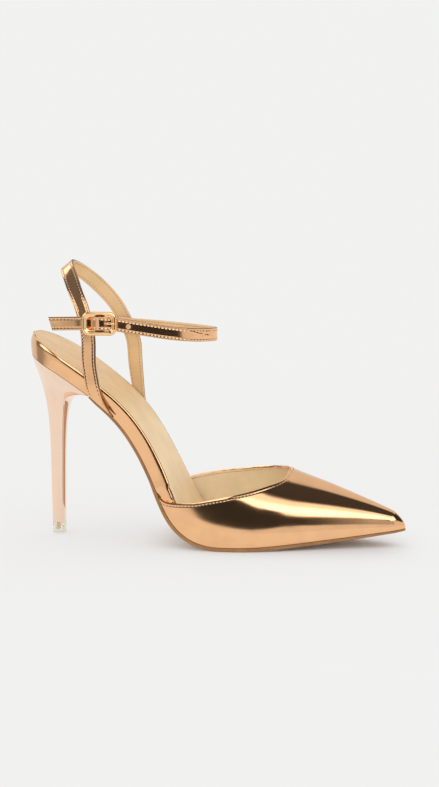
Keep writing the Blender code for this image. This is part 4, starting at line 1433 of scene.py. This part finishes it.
class SHOE_OT_buckle(bpy.types.Operator):
    """Makes the rounded buckle frame with its bar, and the prong"""

    bl_idname = "shoe.buckle"
    bl_label = "Buckle"

    def execute(self, context):
        gold = polished("buckle_gold", "gold", roughness=0.08)
        put_piece("buckle_frame", self.buckle(), [gold], "buckle")
        put_piece("buckle_prong", self.prong(), [gold], "prong")
        return {"FINISHED"}

    @staticmethod
    def buckle():
        """Frame whose face slopes to its opening, with the bar across its middle."""
        outside = rounded_frame(BUCKLE_OUTER, BUCKLE_OUTER_ROUND)
        inside = rounded_frame(BUCKLE_OPENING, BUCKLE_INNER_ROUND)
        count = len(outside)
        x, y, z = BUCKLE_CENTRE

        def place(i, j):
            turn = 2 * math.pi * (j % BUCKLE_AROUND) / BUCKLE_AROUND
            out_x, out_z = outside[i % count]
            in_x, in_z = inside[i % count]
            share = (1 + rounded_power(math.cos(turn))) / 2
            depth = BUCKLE_DEPTH / 2 * rounded_power(math.sin(turn))
            if depth < 0:
                inward = max(0.0, 1 - share / (1 - BUCKLE_RIDGE_SHARE))
                depth *= 1 - 2 * BUCKLE_SLOPE / BUCKLE_DEPTH * inward
            return (x + in_x + (out_x - in_x) * share, y + depth, z + in_z + (out_z - in_z) * share)

        bm = shaped_grid(count, BUCKLE_AROUND, place)
        weld(bm)
        bar_length = (BUCKLE_OUTER[1] + BUCKLE_OPENING[1]) / 2 * MM
        bar_place = Matrix.Translation(Vector((x, BAR_Y, z)) * MM)
        bar_radius = BAR_RADIUS * MM
        bmesh.ops.create_cone(
            bm, cap_ends=True, segments=BAR_STEPS, radius1=bar_radius, radius2=bar_radius, depth=bar_length,
            matrix=bar_place,
        )
        bmesh.ops.recalc_face_normals(bm, faces=bm.faces[:])
        return bm

    @staticmethod
    def prong():
        """Bent pin with rounded ends."""
        rows = keyed_by_length(PRONG, ("x", "y"))
        length = rows["way"][-1]
        ways = np.linspace(0, length, PRONG_ROWS)
        path = read_path(rows, ("x", "y"), ways, PRONG_BLUR)
        runs = np.gradient(path, axis=0)

        def place(i, j):
            turn = 2 * math.pi * (j % PRONG_AROUND) / PRONG_AROUND
            run = runs[i] / np.linalg.norm(runs[i])
            to_end = min(ways[i], length - ways[i])
            radius = PRONG_RADIUS * math.sqrt(max(1 - max(1 - to_end / PRONG_RADIUS, 0.0) ** 2, 0.0))
            side = np.array([-run[1], run[0]]) * radius * math.cos(turn)
            return (path[i][0] + side[0], path[i][1] + side[1], BUCKLE_CENTRE[2] + radius * math.sin(turn))

        bm = shaped_grid(PRONG_ROWS - 1, PRONG_AROUND, place)
        weld(bm)
        close_ends(bm)
        return bm


def stepped(value, start, steps):
    """Level that changes from its start by each step of a table that a value has passed."""
    level = start
    for step in table_rows(steps):
        level = value.between(step["start"], step["stop"]) * step["change"] + level
    return level


def side_walls(turn, rise):
    """Brightness of the walls left and right of the shoe, the dim room between them and what lies below."""
    low = 1 - rise.between(*FLOOR_LINE)
    left = 1 - turn.between(*LEFT_END)
    right_low = low * turn.between(*RIGHT_START)
    right_high = (1 - low) * turn.between(*RIGHT_HIGH_START) * (1 - rise.between(*RIGHT_HIGH_TOP))
    right = right_low + right_high - right_low * right_high
    far_left = (1 - turn.between(*FAR_LEFT_END)) * rise.between(*FAR_LEFT_RISE)
    left_high = rise.between(*LEFT_DIM_RISE)
    left_light = (SIDE - (SIDE - SIDE_FAR) * far_left) * (1 - left_high) + LEFT_DIM * left_high
    dim = DIM + HIGH_DIM * rise.between(*HIGH_DIM_RISE)
    walls = dim * (1 - left) * (1 - right) + left_light * left + SIDE * right
    deep = (1 - rise.between(*DEEP_TOP)) * (1 - turn.between(*DEEP_END))
    tail = rise.between(*TAIL_LOW) * (1 - rise.between(*TAIL_TOP)) * turn.between(*TAIL_START)
    below = SIDE * (1 - left) + left_light * left - TAIL_DIM * tail
    return walls * (1 - deep) + below * deep


def light_box(turn, rise):
    """Brightness of the box before the vamp: its low, upper and left edges bend and its core is brighter."""
    low = stepped(turn, BOX_LOW, BOX_LOW_STEPS)
    top = stepped(turn, BOX_TOP, BOX_TOP_STEPS)
    left = stepped(rise, BOX_LEFT, BOX_LEFT_STEPS)
    box = (rise - low).between(*BOX_LOW_SOFT) * (1 - (rise - top).between(*BOX_TOP_SOFT))
    box = box * (turn - left).between(*BOX_LEFT_SOFT) * (1 - turn.between(*BOX_END))
    core = rise.between(*BOX_CORE_LOW) * (1 - rise.between(*BOX_CORE_TOP))
    return box * (BOX_LIGHT + BOX_CORE_LIGHT * core)


def studio_light(paint):
    """Brightness of the mirrored studio by direction."""
    x, y, z = paint.parts(paint.node("ShaderNodeTexCoord", out=0))
    rise = paint.math("ARCSINE", z) * math.degrees(1)
    turn = paint.math("ARCTAN2", x, 0 - y) * math.degrees(1)
    front = side_walls(turn, rise) + light_box(turn, rise)
    overhead = 1
    for part, name in ((z, "z"), (y, "y"), (x, "x")):
        overhead = part.between(*OVERHEAD_START[name]) * overhead
    front = front * (1 - overhead) + OVERHEAD * overhead
    behind = abs(turn - BEHIND_MIDDLE).between(*BEHIND_START)
    studio = front * (1 - behind) + WHITE * behind
    window = y.between(*WINDOW_START["y"]) * z.between(*WINDOW_START["z"]) * (1 - x.between(*WINDOW_END_X))
    return studio * (1 - window) + WINDOW * window


def end_with(material, shader):
    """Makes a shader the material's surface."""
    ending = material.node_tree.nodes["Material Output"]
    material.node_tree.links.new(shader.socket, ending.inputs["Surface"])


class SHOE_OT_stage(bpy.types.Operator):
    """Sets the pale floor, the studio light and the camera"""

    bl_idname = "shoe.stage"
    bl_label = "Stage"

    def execute(self, context):
        self.floor(context)
        for name, card in CARDS.items():
            self.card(name, **card)
        self.light(context)
        self.camera(context)
        context.scene.view_settings.view_transform = "Standard"
        return {"FINISHED"}

    @staticmethod
    def floor(context):
        """Pale floor whose glow evens out its light."""
        bm = bmesh.new()
        bmesh.ops.create_grid(bm, x_segments=8, y_segments=8, size=0.5)
        for vert in bm.verts:
            for k in range(2):
                vert.co[k] = FLOOR_LOW[k] + (vert.co[k] + 0.5) * (FLOOR_HIGH[k] - FLOOR_LOW[k])
        floor = new_object("floor", bm)
        made, paint, shader = new_material("pale_floor")
        colour = Vector(context.scene.shoe_colours.floor)
        feed(paint, shader, Base_Color=colour, Roughness=0.9)
        glow = paint.node("ShaderNodeEmission", None, {"Color": as_colour(colour), "Strength": 1.0})
        place = paint.place()
        x, y, _ = paint.parts(place)
        reach = paint.node("ShaderNodeVectorMath", {"operation": "LENGTH"}, {0: place}, out=1)
        covered = x.between(*COVERED_START) * (1 - x.between(*COVERED_END))
        covered = covered * (1 - abs(y).between(*COVERED_SIDE))
        share = reach.between(*FLOOR_FADE) * (1 - FLOOR_GLOW) + FLOOR_GLOW
        share = share * (1 - FLOOR_COVERED * covered)
        lit = Paint(paint.tree, shader.outputs[0])
        end_with(made, paint.node("ShaderNodeMixShader", None, {0: share, 1: lit, 2: glow}))
        floor.data.materials.append(made)

    @staticmethod
    def card(name, low, high, light, fade=None, top=None):
        """Upright or level card that only mirrors show; it may fade in along x or have a bent top."""
        low, high = Vector(low) * MM, Vector(high) * MM
        bm = bmesh.new()
        bmesh.ops.create_grid(bm, x_segments=CARD_STEPS, y_segments=1, size=1.0)
        for vert in bm.verts:
            x = low.x + (high.x - low.x) * (vert.co.x + 1) / 2
            top_z = np.interp(x, top["x"] * MM, top["z"] * MM) if top else high.z
            vert.co = (x, low.y, low.z) if vert.co.y < 0 else (x, high.y, top_z)
        card = new_object(name, bm)
        card.visible_camera = False
        card.visible_diffuse = False
        card.visible_shadow = False
        made, paint, _ = new_material(name)
        colour = as_colour(light)
        if fade:
            forward = paint.parts(paint.place())[0].between(*(x * MM for x in fade))
            colour = forward.mix((DIM, DIM, DIM), light)
        end_with(made, paint.node("ShaderNodeEmission", None, {"Color": colour, "Strength": 1.0}))
        card.data.materials.append(made)

    @staticmethod
    def light(context):
        """Studio for what is mirrored, the floor's tone for the camera and even white light for the rest."""
        world = bpy.data.worlds.new("studio")
        context.scene.world = world
        world.use_nodes = True
        paint = Paint(world.node_tree)
        mirrored = paint.node("ShaderNodeLightPath", out=3)
        seen = paint.node("ShaderNodeLightPath", out=0)
        light = mirrored * studio_light(paint) + (1 - mirrored)
        grey = paint.node("ShaderNodeCombineColor", None, {0: light, 1: light, 2: light})
        colour = seen.mix(grey, context.scene.shoe_colours.floor)
        ground = world.node_tree.nodes["Background"]
        paint.tree.links.new(colour.socket, ground.inputs["Color"])
        world.cycles.sampling_method = "NONE"

    @staticmethod
    def camera(context):
        """Camera at the angle of the picture."""
        lens = bpy.data.cameras.new("camera")
        lens.lens = CAMERA_LENS
        lens.sensor_width = CAMERA_SENSOR
        camera = bpy.data.objects.new("camera", lens)
        context.scene.collection.objects.link(camera)
        turn = math.radians(CAMERA_TURN)
        tilt = math.radians(CAMERA_TILT)
        right = Vector((math.cos(turn), math.sin(turn), 0))
        level = Vector((-math.sin(turn), math.cos(turn), 0))
        ahead = level * math.cos(tilt) - Vector((0, 0, math.sin(tilt)))
        up = right.cross(ahead)
        pose = Matrix((right, up, -ahead)).transposed().to_4x4()
        camera.matrix_world = Matrix.Translation(CAMERA_PLACE) @ pose
        context.scene.camera = camera


MAKERS = (
    SHOE_OT_vamp, SHOE_OT_sole, SHOE_OT_heel, SHOE_OT_sling_strap, SHOE_OT_ankle_strap, SHOE_OT_buckle,
    SHOE_OT_stage,
)


class SHOE_PT_pieces(bpy.types.Panel):
    """Lists the pieces of the shoe"""

    bl_idname = "SHOE_PT_pieces"
    bl_label = "High heel shoe"
    bl_space_type = "VIEW_3D"
    bl_region_type = "UI"
    bl_category = "Shoe"

    def draw(self, context):
        for maker in MAKERS:
            self.layout.operator(maker.bl_idname)
        for group in (context.scene.shoe_sizes, context.scene.shoe_colours):
            for name in group.__annotations__:
                self.layout.prop(group, name)


CLASSES = (ShoeSizes, ShoeColours, *MAKERS, SHOE_PT_pieces)


def register():
    for made in CLASSES:
        bpy.utils.register_class(made)
    bpy.types.Scene.shoe_sizes = bpy.props.PointerProperty(type=ShoeSizes)
    bpy.types.Scene.shoe_colours = bpy.props.PointerProperty(type=ShoeColours)


def unregister():
    del bpy.types.Scene.shoe_colours
    del bpy.types.Scene.shoe_sizes
    for made in reversed(CLASSES):
        bpy.utils.unregister_class(made)


def main():
    register()
    bpy.ops.shoe.vamp()
    bpy.ops.shoe.sole()
    bpy.ops.shoe.heel()
    bpy.ops.shoe.sling_strap()
    bpy.ops.shoe.ankle_strap()
    bpy.ops.shoe.buckle()
    bpy.ops.shoe.stage()


if __name__ == "__main__":
    main()
